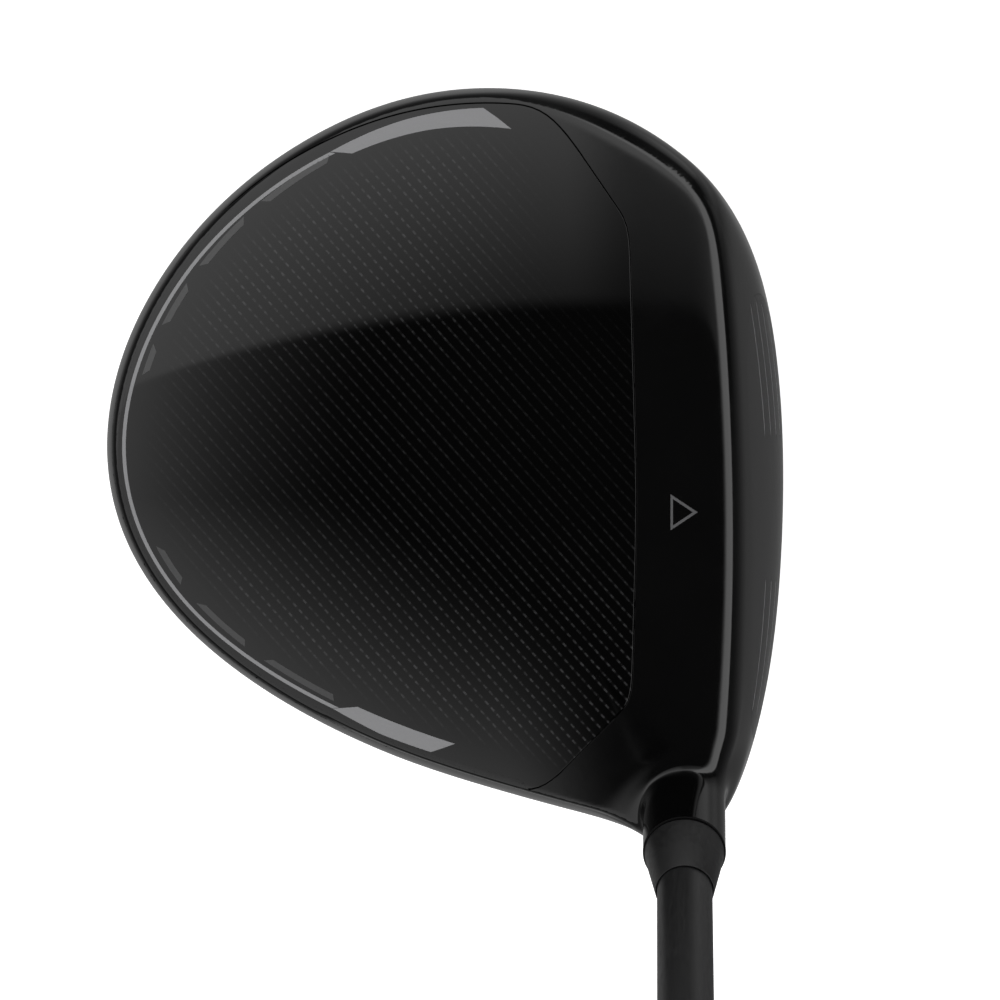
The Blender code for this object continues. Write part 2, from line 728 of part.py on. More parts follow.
def make_adapter(placement):
    """The keyed sleeve on the shaft tip, and the captive screw that pulls the head onto it."""
    key_bottom = HOSEL_TOP - KEYWAY_DEPTH + 2 * GAP
    collar = HOSEL_TOP + GAP
    shaft_bore = TIP_RADIUS + GAP
    thread = SCREW_RADIUS + GAP
    turned(
        "hosel_sleeve",
        (
            (COLLAR_RADIUS, collar + COLLAR_THICKNESS),
            (COLLAR_RADIUS, collar),
            (KEYWAY_RADIUS - GAP, collar),
            (KEYWAY_RADIUS - GAP, key_bottom),
            (SLEEVE_RADIUS, key_bottom),
            (SLEEVE_RADIUS, SLEEVE_BOTTOM + SLEEVE_BEVEL),
            (SLEEVE_RADIUS - SLEEVE_BEVEL, SLEEVE_BOTTOM),
            (thread, SLEEVE_BOTTOM),
            (thread, SLEEVE_THREAD_END),
            (shaft_bore, SLEEVE_THREAD_END),
            (shaft_bore, collar + COLLAR_THICKNESS),
        ),
        placement,
        "dark_alloy",
    )
    head_top = SCREW_HEAD_BOTTOM + SCREW_HEAD_LENGTH
    screw = turned(
        "hosel_screw",
        (
            (0, SCREW_TIP),
            (SCREW_RADIUS - SCREW_BEVEL, SCREW_TIP),
            (SCREW_RADIUS, SCREW_TIP - SCREW_BEVEL),
            (SCREW_RADIUS, head_top),
            (SCREW_HEAD_RADIUS, head_top),
            (SCREW_HEAD_RADIUS, SCREW_HEAD_BOTTOM + SCREW_BEVEL),
            (SCREW_HEAD_RADIUS - SCREW_BEVEL, SCREW_HEAD_BOTTOM),
            (0, SCREW_HEAD_BOTTOM),
        ),
        placement,
        "steel",
        SCREW_STEPS,
    )
    width, depth = HOSEL_SOCKET
    boolean(screw, socket("hosel_socket", placement, width, BELOW_ALL, SCREW_HEAD_BOTTOM + depth))
    ring(placement, "screw_washer", "steel", WASHER_RADIUS, head_top + GAP, WEB_BOTTOM - GAP)
    low = WEB_TOP + GAP
    ring(placement, "screw_retainer", "rubber", RETAINER_RADIUS, low, low + RETAINER_THICKNESS)


def ring(placement, name, finish, radius, low, high):
    hole = SCREW_RADIUS + GAP
    turned(name, ((radius, high), (radius, low), (hole, low), (hole, high)), placement, finish)


def make_ferrule(placement):
    top = FERRULE_BOTTOM + FERRULE_LENGTH
    turned(
        "ferrule",
        (
            (EXIT_RADIUS + FERRULE_LIP, top),
            (FERRULE_RADIUS, FERRULE_BOTTOM + FERRULE_BAND),
            (FERRULE_RADIUS, FERRULE_BOTTOM),
            (shaft_radius(FERRULE_BOTTOM) + GAP, FERRULE_BOTTOM),
            (shaft_radius(top) + GAP, top),
        ),
        placement,
        "ferrule_plastic",
        FINE_STEPS,
    )


def shaft_radius(u):
    """The shaft's outside: parallel in the sleeve, then one even taper to the butt."""
    exit_u = FERRULE_BOTTOM + FERRULE_LENGTH
    stops = (SHAFT_TIP, FERRULE_BOTTOM, exit_u, SHAFT_END)
    return float(np.interp(u, stops, (TIP_RADIUS, TIP_RADIUS, EXIT_RADIUS, BUTT_RADIUS)))


def make_shaft(placement):
    stops = (SHAFT_END, GRIP_START, FERRULE_BOTTOM + FERRULE_LENGTH, FERRULE_BOTTOM, SHAFT_TIP)
    outside = [(shaft_radius(u), u) for u in stops]
    inside = [(shaft_radius(u) - SHAFT_WALL, u) for u in reversed(stops)]
    turned("shaft", outside + inside, placement, "shaft_paint", FINE_STEPS)


def make_grip(placement):
    start = GRIP_START + TAPE_INSET
    end = SHAFT_END - TAPE_INSET
    tape_out = GAP + TAPE_THICKNESS
    hole = tape_out + GAP
    tape = [(shaft_radius(u) + tape_out, u) for u in (end, start)]
    tape += [(shaft_radius(u) + GAP, u) for u in (start, end)]
    turned("grip_tape", tape, placement, "tape", SCREW_STEPS)
    turned(
        "grip",
        (
            (GRIP_BUTT_RADIUS, GRIP_END),
            (GRIP_BUTT_RADIUS - GRIP_BELL_STEP, GRIP_END - GRIP_BELL),
            (GRIP_MOUTH_RADIUS, GRIP_START + GRIP_LIP),
            (GRIP_MOUTH_RADIUS - GRIP_LIP_STEP, GRIP_START),
            (shaft_radius(GRIP_START) + hole, GRIP_START),
            (shaft_radius(SHAFT_END) + hole, GRIP_END),
        ),
        placement,
        "rubber",
    )
    low = GRIP_END + GAP
    plug = BUTT_RADIUS - SHAFT_WALL - GAP
    turned(
        "grip_cap",
        (
            (VENT_RADIUS, CLUB_LENGTH),
            (GRIP_BUTT_RADIUS - CAP_BEVEL, CLUB_LENGTH),
            (GRIP_BUTT_RADIUS, CLUB_LENGTH - CAP_BEVEL),
            (GRIP_BUTT_RADIUS, low),
            (plug, low),
            (plug, low - CAP_PLUG),
            (VENT_RADIUS, low - CAP_PLUG),
        ),
        placement,
        "rubber",
    )


def main():
    for item in list(bpy.data.objects):
        bpy.data.objects.remove(item)
    for collection in (MODEL, CUTTERS):
        bpy.context.scene.collection.children.link(collection)
    placement = shaft_placement()
    make_body(make_panels(), placement)
    make_adapter(placement)
    make_ferrule(placement)
    make_shaft(placement)
    make_grip(placement)


main()
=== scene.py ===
"""Looks of a left-handed golf driver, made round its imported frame. Metres: toe +Y, face +X."""

import math

import bmesh
import bpy
import numpy as np
from mathutils import Matrix, Vector


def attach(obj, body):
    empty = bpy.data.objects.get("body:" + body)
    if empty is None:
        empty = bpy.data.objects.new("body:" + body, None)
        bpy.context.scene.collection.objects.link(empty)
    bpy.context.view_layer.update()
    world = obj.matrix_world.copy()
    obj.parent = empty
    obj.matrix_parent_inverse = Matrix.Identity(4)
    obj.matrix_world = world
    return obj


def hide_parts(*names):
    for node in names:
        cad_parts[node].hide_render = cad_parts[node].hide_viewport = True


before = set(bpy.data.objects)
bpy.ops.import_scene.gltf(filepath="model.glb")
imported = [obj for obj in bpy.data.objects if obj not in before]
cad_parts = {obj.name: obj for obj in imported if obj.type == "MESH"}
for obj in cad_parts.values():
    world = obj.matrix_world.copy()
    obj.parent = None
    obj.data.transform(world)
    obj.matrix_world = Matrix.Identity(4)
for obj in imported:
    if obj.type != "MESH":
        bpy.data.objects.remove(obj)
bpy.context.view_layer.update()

# ---- the club's own dimensions ----
LIE = math.radians(58)
LOFT = math.radians(10.5)
PIVOT = np.array((-0.006, 0.0, 0.030))
OUTLINE = (  # the widest plan line, from the heel side of the face round by the toe
    (0.0339, -0.0450),
    (0.0381, -0.0250),
    (0.0399, 0.0000),
    (0.0390, 0.0180),
    (0.0352, 0.0325),
    (0.0250, 0.0467),
    (0.0100, 0.0573),
    (-0.0108, 0.0620),
    (-0.0269, 0.0600),
    (-0.0425, 0.0533),
    (-0.0559, 0.0433),
    (-0.0672, 0.0295),
    (-0.0742, 0.0133),
    (-0.0755, 0.0000),
    (-0.0727, -0.0125),
    (-0.0663, -0.0233),
    (-0.0550, -0.0342),
    (-0.0406, -0.0433),
    (-0.0257, -0.0500),
    (-0.0041, -0.0567),
    (0.0075, -0.0597),
    (0.0165, -0.0615),
    (0.0256, -0.0605),
    (0.0299, -0.0550),
)
CROWN = (0.006, -0.0065, 0.0613, 0.114, 0.097)  # highest point, radii along X and Y
SOLE = (0.000, 0.000, -0.0008, 0.145, 0.105)
FACE_CENTRE = (0.0366, -0.0094, 0.028)
FACE_BULGE = 0.222
FACE_ROLL = 0.300
SHOULDER = 0.0085  # the skirt is widest this far under the rim of the crown,
HIGHEST_WIDE = 0.036  # but never higher than this
TALLEST_SHOULDER = 0.0095
SHOULDER_RADIUS = 0.038  # of the skirt above its widest line, seen from the side
SKIRT_RADIUS = 0.130  # and below it
RIM_ROUND = 0.0012  # how wide each pair of skins blends
TOPLINE_ROUND = 0.0062  # the rim's blend between the toe and the face
TOPLINE_TOE = (math.radians(-98), math.radians(-70))
TOPLINE_HEEL = (math.radians(-5), math.radians(15))
HEEL_RELIEF = 30.0  # how fast the topline turns back to the hosel
HEEL_RELIEF_Y = -0.0445
HEEL_RELIEF_Z = (0.034, 0.046)
KEEL_ROUND = 0.0050
FACE_ROUND = 0.0062
GROUND_ROUND = 0.0006
SEAM_INSET = 0.0013  # from the widest line in to the crown panel's edge
TOE_SEAM_INSET = 0.0028
TOE_ANGLE = math.radians(94)
TOE_SPREAD = math.radians(56)  # the inset eases back to the narrow one over this angle
INSET = 0.00015  # the shown skin lies this far inside the frame's, to keep to its box

HOSEL_LENGTH = 0.07075  # of the frame's hosel, along its axis from the ground
HOSEL_FOOT = np.array((0.0205, -0.0652 + HOSEL_LENGTH * math.cos(LIE), 0.0))
HOSEL_UP = np.array((0.0, -math.cos(LIE), math.sin(LIE)))
HOSEL_TOP = HOSEL_LENGTH - 0.0009
HOSEL_RADIUS = 0.0070
HOSEL_SPAN = (0.0300, 0.0760)  # how far the hosel's cylinder runs before it is cut flat
FILLET_TOP = 0.0050  # how wide the hosel blends into the crown
FILLET_SIDE = 0.0140  # and, behind it, into the skirt
FILLET_Z = (0.0440, 0.0505)
FILLET_BEHIND = (-0.002, 0.006)
BORE_RADIUS = 0.0056
KEYWAY_RADIUS = 0.0064
KEYWAY_DEPTH = 0.0040
WEB_BOTTOM = 0.0176
WEB_TOP = 0.0216
WEB_HOLE_RADIUS = 0.0030
PORT_RADIUS = 0.0052
GAP = 0.0003
SEAM = 0.00009  # the fine gap round each panel

FARTHEST = 0.12  # from the pivot, past the whole head
VOXEL = 0.0007  # the size of the skin mesh's faces
NEAR_SKIN = 0.00008
PANEL_DEPTH = 0.0008
PANEL_LIP = 0.00016  # the broken edge round a panel's recess
LEDGE_DEPTH = 0.0011
FACE_SIZE = (0.0370, 0.0205)  # half the face plate's width and height
FACE_FULLNESS = 2.4
FACE_TILT = math.radians(4)
FACE_RISE = 0.0005
FACE_DEPTH = 0.0019
FACE_RECESS = 0.0022
FACE_SEAM = 0.00004
FACE_LIP = 0.00005
FACE_EDGE_ROUND = 0.00004


def periodic_spline(knots, values):
    """A closed cubic spline through the values, as a function of angle."""
    count = len(knots)
    span = np.diff(np.append(knots, knots[0] + 2 * math.pi))
    slope = np.diff(np.append(values, values[0])) / span
    system = np.zeros((count, count))
    for i in range(count):
        system[i, i - 1] += span[i - 1]
        system[i, i] += 2 * (span[i - 1] + span[i])
        system[i, (i + 1) % count] += span[i]
    bend = np.linalg.solve(system, 6 * (slope - np.roll(slope, 1)))

    def value(angle):
        turned_angle = knots[0] + (angle - knots[0]) % (2 * math.pi)
        i = np.clip(np.searchsorted(knots, turned_angle, side="right") - 1, 0, count - 1)
        j = (i + 1) % count
        after = (turned_angle - knots[i]) / span[i]
        before = 1 - after
        curve = (before**3 - before) * bend[i] + (after**3 - after) * bend[j]
        return before * values[i] + after * values[j] + curve * span[i] ** 2 / 6

    return value


def polar_outline(points):
    offsets = np.array(points) - PIVOT[:2]
    angles = np.unwrap(np.arctan2(offsets[:, 1], offsets[:, 0]))
    return periodic_spline(angles, np.hypot(offsets[:, 0], offsets[:, 1]))


plan_radius = polar_outline(OUTLINE)


def smooth_step(value, low, high):
    t = np.clip((value - low) / (high - low), 0, 1)
    return t * t * (3 - 2 * t)


def smooth_max(a, b, width):
    """The larger of two fields, with the crease rounded where they differ by under the width."""
    near = np.clip(1 - np.abs(a - b) / width, 0, None)
    return np.maximum(a, b) + near**3 * width / 6


def smooth_min(a, b, width):
    return -smooth_max(-a, -b, width)


def dome_height(x, y, dome, up):
    """Height of an elliptic dome, which bulges up for up = 1 and down for up = -1, and its lean."""
    centre_x, centre_y, top, radius_x, radius_y = dome
    tilt_x = (x - centre_x) / radius_x
    tilt_y = (y - centre_y) / radius_y
    height = top - up * 0.5 * (tilt_x**2 * radius_x + tilt_y**2 * radius_y)
    return height, np.sqrt(1 + tilt_x**2 + tilt_y**2)


def dome_field(x, y, z, dome, up):
    height, lean = dome_height(x, y, dome, up)
    return up * (z - height) / lean


def face_field(x, y, z):
    centre_x, centre_y, centre_z = FACE_CENTRE
    bulge = (y - centre_y) / FACE_BULGE
    roll = (z - centre_z) / FACE_ROLL
    surface = centre_x - math.tan(LOFT) * (z - centre_z)
    surface = surface - 0.5 * (bulge**2 * FACE_BULGE + roll**2 * FACE_ROLL)
    relief = HEEL_RELIEF * np.clip(HEEL_RELIEF_Y - y, 0, None) ** 2
    surface = surface - relief * smooth_step(z, *HEEL_RELIEF_Z)
    lean = math.tan(LOFT) + roll
    return (x - surface) / np.sqrt(1 + bulge**2 + lean**2)


def skirt_field(x, y, z):
    """Distance past the side wall, whose widest line follows the rim of the crown."""
    across = np.hypot(x - PIVOT[0], y - PIVOT[1])
    reach = plan_radius(np.arctan2(y - PIVOT[1], x - PIVOT[0]))
    outwards = reach / np.maximum(across, 1e-6)
    rim_x = PIVOT[0] + (x - PIVOT[0]) * outwards
    rim_y = PIVOT[1] + (y - PIVOT[1]) * outwards
    widest = np.minimum(dome_height(rim_x, rim_y, CROWN, 1)[0] - SHOULDER, HIGHEST_WIDE)
    above = np.clip(z - widest, 0, TALLEST_SHOULDER)
    below = np.clip(widest - z, 0, None)
    return across - reach + 0.5 * (above**2 / SHOULDER_RADIUS + below**2 / SKIRT_RADIUS)


def head_field(points):
    """Distance outside the head alone, negative inside."""
    x, y, z = points[..., 0], points[..., 1], points[..., 2]
    angle = np.arctan2(y - PIVOT[1], x - PIVOT[0])
    topline = smooth_step(-angle, *TOPLINE_TOE) * smooth_step(angle, *TOPLINE_HEEL)
    rim_round = RIM_ROUND + (TOPLINE_ROUND - RIM_ROUND) * topline
    field = smooth_max(dome_field(x, y, z, CROWN, 1), skirt_field(x, y, z), rim_round)
    field = smooth_max(field, dome_field(x, y, z, SOLE, -1), KEEL_ROUND)
    field = smooth_max(field, face_field(x, y, z), FACE_ROUND)
    return smooth_max(field, -z, GROUND_ROUND)


def hosel_field(points):
    """Distance outside the hosel's cylinder, which ends inside the head and above its own top."""
    offset = points - HOSEL_FOOT
    along = offset @ HOSEL_UP
    across = np.linalg.norm(offset - along[..., None] * HOSEL_UP, axis=-1)
    low, high = HOSEL_SPAN
    past_ends = np.abs(along - (low + high) / 2) - (high - low) / 2
    return smooth_max(across - HOSEL_RADIUS, past_ends, 0.001)


def skin_field(points):
    """Distance outside the shown skin: head and hosel with the fillet between them."""
    behind = smooth_step(HOSEL_FOOT[0] - points[..., 0], *FILLET_BEHIND)
    low = 1 - smooth_step(points[..., 2], *FILLET_Z)
    fillet = FILLET_TOP + (FILLET_SIDE - FILLET_TOP) * low * behind
    return smooth_min(head_field(points), hosel_field(points), fillet) + INSET


def skin_slope(points):
    """The field's gradient, by central differences."""
    step = 1e-5
    slope = np.empty_like(points)
    for axis in range(3):
        shift = np.zeros(3)
        shift[axis] = step
        slope[..., axis] = (skin_field(points + shift) - skin_field(points - shift)) / (2 * step)
    return slope


def pulled_to_skin(points, rounds=8):
    """The points moved along the slope until they lie on the skin."""
    for _ in range(rounds):
        slope = skin_slope(points)
        move = skin_field(points) / np.maximum((slope**2).sum(axis=-1), 1e-6)
        points = points - np.clip(move, -0.001, 0.001)[..., None] * slope
    return points


def crossing(low, high, beyond, rounds):
    """Where a test turns true on the way from low to high, by halving."""
    for _ in range(rounds):
        middle = (low + high) / 2
        past = beyond(middle)
        high = np.where(past, middle, high)
        low = np.where(past, low, middle)
    return high


def skin_along(plan, depth, axis, inside, outside):
    """Points whose other two coordinates are given, at a depth under where a line along the axis
    leaves the skin. Close to an edge, where the skin turns away, they stop going deeper."""
    low = np.full(plan.shape[:-1], inside)
    high = np.full(plan.shape[:-1], outside)
    high = crossing(low, high, lambda level: skin_field(with_axis(plan, axis, level)) > 0, 26)
    slope = skin_slope(with_axis(plan, axis, high))
    facing = np.abs(slope[..., axis]) / np.linalg.norm(slope, axis=-1)
    inwards = np.sign(inside - outside) / np.maximum(facing, 0.8)
    return with_axis(plan, axis, high + depth * inwards)


def with_axis(plan, axis, level):
    columns = [plan[..., 0], plan[..., 1]]
    columns.insert(axis, level)
    return np.stack(columns, axis=-1)


# ---- mesh helpers ----


def mesh_from(name, vertices, faces):
    mesh = bpy.data.meshes.new(name)
    mesh.from_pydata([tuple(v) for v in vertices], [], faces)
    shape = bmesh.new()
    shape.from_mesh(mesh)
    if shape.calc_volume(signed=True) < 0:
        bmesh.ops.reverse_faces(shape, faces=shape.faces)
    shape.to_mesh(mesh)
    shape.free()
    return mesh


def mesh_of(name, shape):
    """A new mesh from a bmesh, which is freed."""
    mesh = bpy.data.meshes.new(name)
    shape.to_mesh(mesh)
    shape.free()
    return mesh


def read_all(items, field, width=1, kind=float):
    """One field of every vertex, edge, corner or face as an array."""
    values = np.empty(len(items) * width, kind)
    items.foreach_get(field, values)
    return values.reshape(-1, width) if width > 1 else values


def loose_object(name, mesh):
    item = bpy.data.objects.new(name, mesh)
    bpy.context.scene.collection.objects.link(item)
    return item


def evaluated_mesh(item):
    bpy.context.view_layer.update()
    graph = bpy.context.evaluated_depsgraph_get()
    return bpy.data.meshes.new_from_object(item.evaluated_get(graph))


def carved(item, cutters, operation="DIFFERENCE"):
    """Applies Booleans one after another and removes the cutters."""
    for cutter in cutters:
        change = item.modifiers.new("carve", "BOOLEAN")
        change.operation = operation
        change.object = cutter
        change.solver = "MANIFOLD"
    mesh = evaluated_mesh(item)
    item.modifiers.clear()
    old = item.data
    item.data = mesh
    bpy.data.meshes.remove(old)
    for cutter in cutters:
        bpy.data.objects.remove(cutter)
    return item


def shade(mesh, sharp=32):
    mesh.shade_smooth()
    mesh.set_sharp_from_angle(angle=math.radians(sharp))


def follow_skin(mesh, within=40):
    """Shading normals taken from the exact skin wherever the mesh lies on it."""
    points = read_all(mesh.vertices, "co", 3)
    slope = skin_slope(points)
    slope /= np.linalg.norm(slope, axis=1, keepdims=True)
    on_skin = np.abs(skin_field(points)) < NEAR_SKIN
    corners = read_all(mesh.loops, "vertex_index", kind=np.int32)
    sizes = read_all(mesh.polygons, "loop_total", kind=np.int32)
    facing = np.repeat(read_all(mesh.polygons, "normal", 3), sizes, axis=0)
    aligned = (slope[corners] * facing).sum(axis=1) > math.cos(math.radians(within))
    chosen = np.where((on_skin[corners] & aligned)[:, None], slope[corners], 0)
    mesh.normals_split_custom_set(chosen.tolist())


def finished(item, finish, body, nodes=()):
    """Gives a piece its material, the body that it rides on and the nodes that it stands for."""
    item.data.materials.clear()
    item.data.materials.append(finish)
    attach(item, body)
    if nodes:
        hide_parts(*nodes)
    return item


def skin_plate(name, outline_at, profile, axis, inside, outside, rings):
    """A closed plate that follows the skin.

    The profile lists (grow, depth) round its edge, from the upper face to the lower one.
    """
    ends = [outline_at(grow) for grow, _ in profile]
    centre = ends[0].mean(axis=0)

    def rings_to(edge):
        depth = profile[edge][1]
        return [(centre + (ends[edge] - centre) * k / rings, depth) for k in range(1, rings)]

    levels = rings_to(0)
    levels += [(end, depth) for end, (_, depth) in zip(ends, profile)]
    levels += reversed(rings_to(-1))
    steps = len(ends[0])
    vertices = []
    for plan, depth in levels:
        vertices.extend(skin_along(plan, depth, axis, inside, outside))
    top = len(vertices)
    for depth in (profile[0][1], profile[-1][1]):
        vertices.append(skin_along(centre, depth, axis, inside, outside))
    faces = []
    last = (len(levels) - 1) * steps
    for i in range(steps):
        j = (i + 1) % steps
        faces.append((top, i, j))
        faces.append((top + 1, last + j, last + i))
        for k in range(len(levels) - 1):
            near, far = k * steps, (k + 1) * steps
            faces.append((near + i, far + i, far + j, near + j))
    return mesh_from(name, vertices, faces)


def skin_strip(name, plan, low, high, axis=2, inside=0.030, outside=0.075, closed=False):
    """A thin closed strip on the skin over a grid of plan points, between two depths."""
    along, across = plan.shape[:2]
    upper = skin_along(plan, low, axis, inside, outside).reshape(-1, 3)
    lower = skin_along(plan, high, axis, inside, outside).reshape(-1, 3)
    base = along * across
    faces = []
    for i in range(along if closed else along - 1):
        near, far = i * across, (i + 1) % along * across
        for k in range(across - 1):
            quad = (near + k, far + k, far + k + 1, near + k + 1)
            faces.append(quad)
            faces.append(tuple(base + corner for corner in reversed(quad)))
        for k, turn in ((0, 1), (across - 1, -1)):
            wall = (near + k, base + near + k, base + far + k, far + k)
            faces.append(wall[::turn])
    if not closed:
        for start, turn in ((0, -1), (base - across, 1)):
            for k in range(start, start + across - 1):
                wall = (k, base + k, base + k + 1, k + 1)
                faces.append(wall[::turn])
    return mesh_from(name, np.concatenate([upper, lower]), faces)


def filleted(profile, radius, arc=4):
    """A closed (radius, height) profile with its corners rounded; corners on the axis stay."""
    points = [Vector(p) for p in profile]
    rounded = []
    count = len(points)
    for i, corner in enumerate(points):
        before = points[i - 1] - corner
        after = points[(i + 1) % count] - corner
        if corner.x < 1e-7 or before.length < 1e-7 or after.length < 1e-7:
            rounded.append(corner)
            continue
        angle = before.angle(after)
        reach = min(radius / math.tan(angle / 2), 0.42 * before.length, 0.42 * after.length)
        start, end = corner + before.normalized() * reach, corner + after.normalized() * reach
        for k in range(arc + 1):
            t = k / arc
            rounded.append(start.lerp(corner, t).lerp(corner.lerp(end, t), t))
    return [(p.x, p.y) for p in rounded]


def turned(name, profile, placement, steps=96, displace=None):
    """A solid of revolution about the placement's Z from a closed (radius, height) profile."""
    angles = np.linspace(0, 2 * math.pi, steps, endpoint=False)
    vertices, rings = [], []
    for radius, height in profile:
        start = len(vertices)
        if radius < 1e-7:
            vertices.append((0, 0, height))
            rings.append([start] * steps)
            continue
        reach = np.full(steps, radius)
        if displace is not None:
            reach = reach + displace(angles, radius, height)
        vertices.extend(zip(reach * np.cos(angles), reach * np.sin(angles), np.full(steps, height)))
        rings.append(list(range(start, start + steps)))
    faces = []
    count = len(rings)
    for k in range(count):
        near, far = rings[k], rings[(k + 1) % count]
        if near[0] == near[1] and far[0] == far[1]:
            continue
        for i in range(steps):
            j = (i + 1) % steps
            corners = dict.fromkeys((near[i], near[j], far[j], far[i]))
            faces.append(tuple(corners))
    mesh = mesh_from(name, vertices, faces)
    mesh.transform(placement)
    return mesh


def turned_object(name, profile, placement, steps=96, displace=None):
    return loose_object(name, turned(name, profile, placement, steps, displace))


def add_turned(name, profile, placement, finish, body, slot, nodes=(), **options):
    item = turned_object(name, profile, placement, **options)
    shade(item.data)
    return finished(item, finish, body, nodes)


# ---- placements ----


def placed(point, up, side):
    """Local Z along up from a point."""
    turn = Vector(up).to_track_quat("Z", side).to_matrix().to_4x4()
    return Matrix.Translation(Vector(point)) @ turn


SHAFT = placed(HOSEL_FOOT, HOSEL_UP, "X")


def rim_lines(centre, lines, blend, rim=None):
    """An outline function: the region inside the rim's reach and every line, which is given by its
    outward normal's angle in degrees and its distance from the origin."""
    angles = np.linspace(0, 2 * math.pi, PLATE_STEPS, endpoint=False)
    direction = np.stack([np.cos(angles), np.sin(angles)], axis=1)

    def outline_at(grow):
        nearness = None
        for tilt, offset in lines:
            normal_x, normal_y = math.cos(math.radians(tilt)), math.sin(math.radians(tilt))
            reach = offset + grow - normal_x * centre[0] - normal_y * centre[1]
            wall = (normal_x * direction[:, 0] + normal_y * direction[:, 1]) / reach
            nearness = wall if nearness is None else smooth_max(nearness, wall, blend)
        if rim is not None:
            nearness = smooth_max(nearness, 1 / (rim(angles) + grow), blend)
        return np.array(centre) + direction / nearness[:, None]

    return outline_at


def crown_reach(angle):
    """From the pivot to the crown panel's edge, which stands further in at the toe."""
    from_toe = np.abs((angle - TOE_ANGLE + math.pi) % (2 * math.pi) - math.pi)
    ease = 0.5 + 0.5 * np.cos(math.pi * np.minimum(from_toe / TOE_SPREAD, 1))
    return plan_radius(angle) - SEAM_INSET - (TOE_SEAM_INSET - SEAM_INSET) * ease


PLATE_STEPS = 288
CROWN_LINES = ((1.6, 0.01245), (-1.6, 0.01287), (34.2, 0.0313), (-44.3, 0.0362))
CROWN_BLEND = 2.5  # how far the corners are rounded, in 1 / m
SOLE_BLEND = 32.0
CROWN_OUTLINE = rim_lines(PIVOT[:2], CROWN_LINES, CROWN_BLEND, crown_reach)
SOLE_OUTLINES = {
    "toe": rim_lines(
        (-0.026, 0.026),
        ((-90, -0.0085), (12, -0.0030), (78, 0.0430), (118, 0.0515), (160, 0.0560)),
        SOLE_BLEND,
    ),
    "heel": rim_lines(
        (-0.036, -0.018),
        ((90, -0.0065), (-14, -0.0130), (-118, 0.0465), (-152, 0.0510)),
        SOLE_BLEND,
    ),
}


def face_outline(grow):
    """A rounded oval across the face, in Y and Z, its toe end a little higher."""
    half_width, half_height = FACE_SIZE[0] + grow, FACE_SIZE[1] + grow
    angles = np.linspace(0, 2 * math.pi, PLATE_STEPS, endpoint=False)
    across, up = np.cos(angles), np.sin(angles)
    size = np.abs(across / half_width) ** FACE_FULLNESS + np.abs(up / half_height) ** FACE_FULLNESS
    radius = size ** (-1 / FACE_FULLNESS)
    y = radius * (across * math.cos(FACE_TILT) - up * math.sin(FACE_TILT))
    z = radius * (across * math.sin(FACE_TILT) + up * math.cos(FACE_TILT))
    return np.stack([FACE_CENTRE[1] + y, FACE_CENTRE[2] + FACE_RISE + z], axis=1)


UPWARDS = {"axis": 2, "inside": 0.030, "outside": 0.080}
DOWNWARDS = {"axis": 2, "inside": 0.030, "outside": -0.012}
FORWARDS = {"axis": 0, "inside": 0.012, "outside": 0.055}


def plate_edge(round_by, depth):
    """The (grow, depth) profile of a plate with rounded upper edges."""
    arc = [math.pi / 2 * k / 4 for k in range(5)]
    edge = [(-round_by - 0.0006, 0.0), (-round_by - 0.0002, 0.0)]
    edge += [(round_by * (math.sin(a) - 1), round_by * (1 - math.cos(a))) for a in arc]
    return [*edge, (0.0, depth)]


def recess_edge(lip, depth, seam=SEAM):
    """The profile of a recess cutter, flared where it leaves the skin, so that its lip is round."""
    arc = [math.radians(a) for a in (0, 20, 40, 58)]
    flare = [(seam + lip * (1 - math.cos(a)), lip * (0.85 - math.sin(a))) for a in arc]
    return [(seam + 2.2 * lip, -3 * lip), *reversed(flare), (seam, depth)]


# ---- materials ----


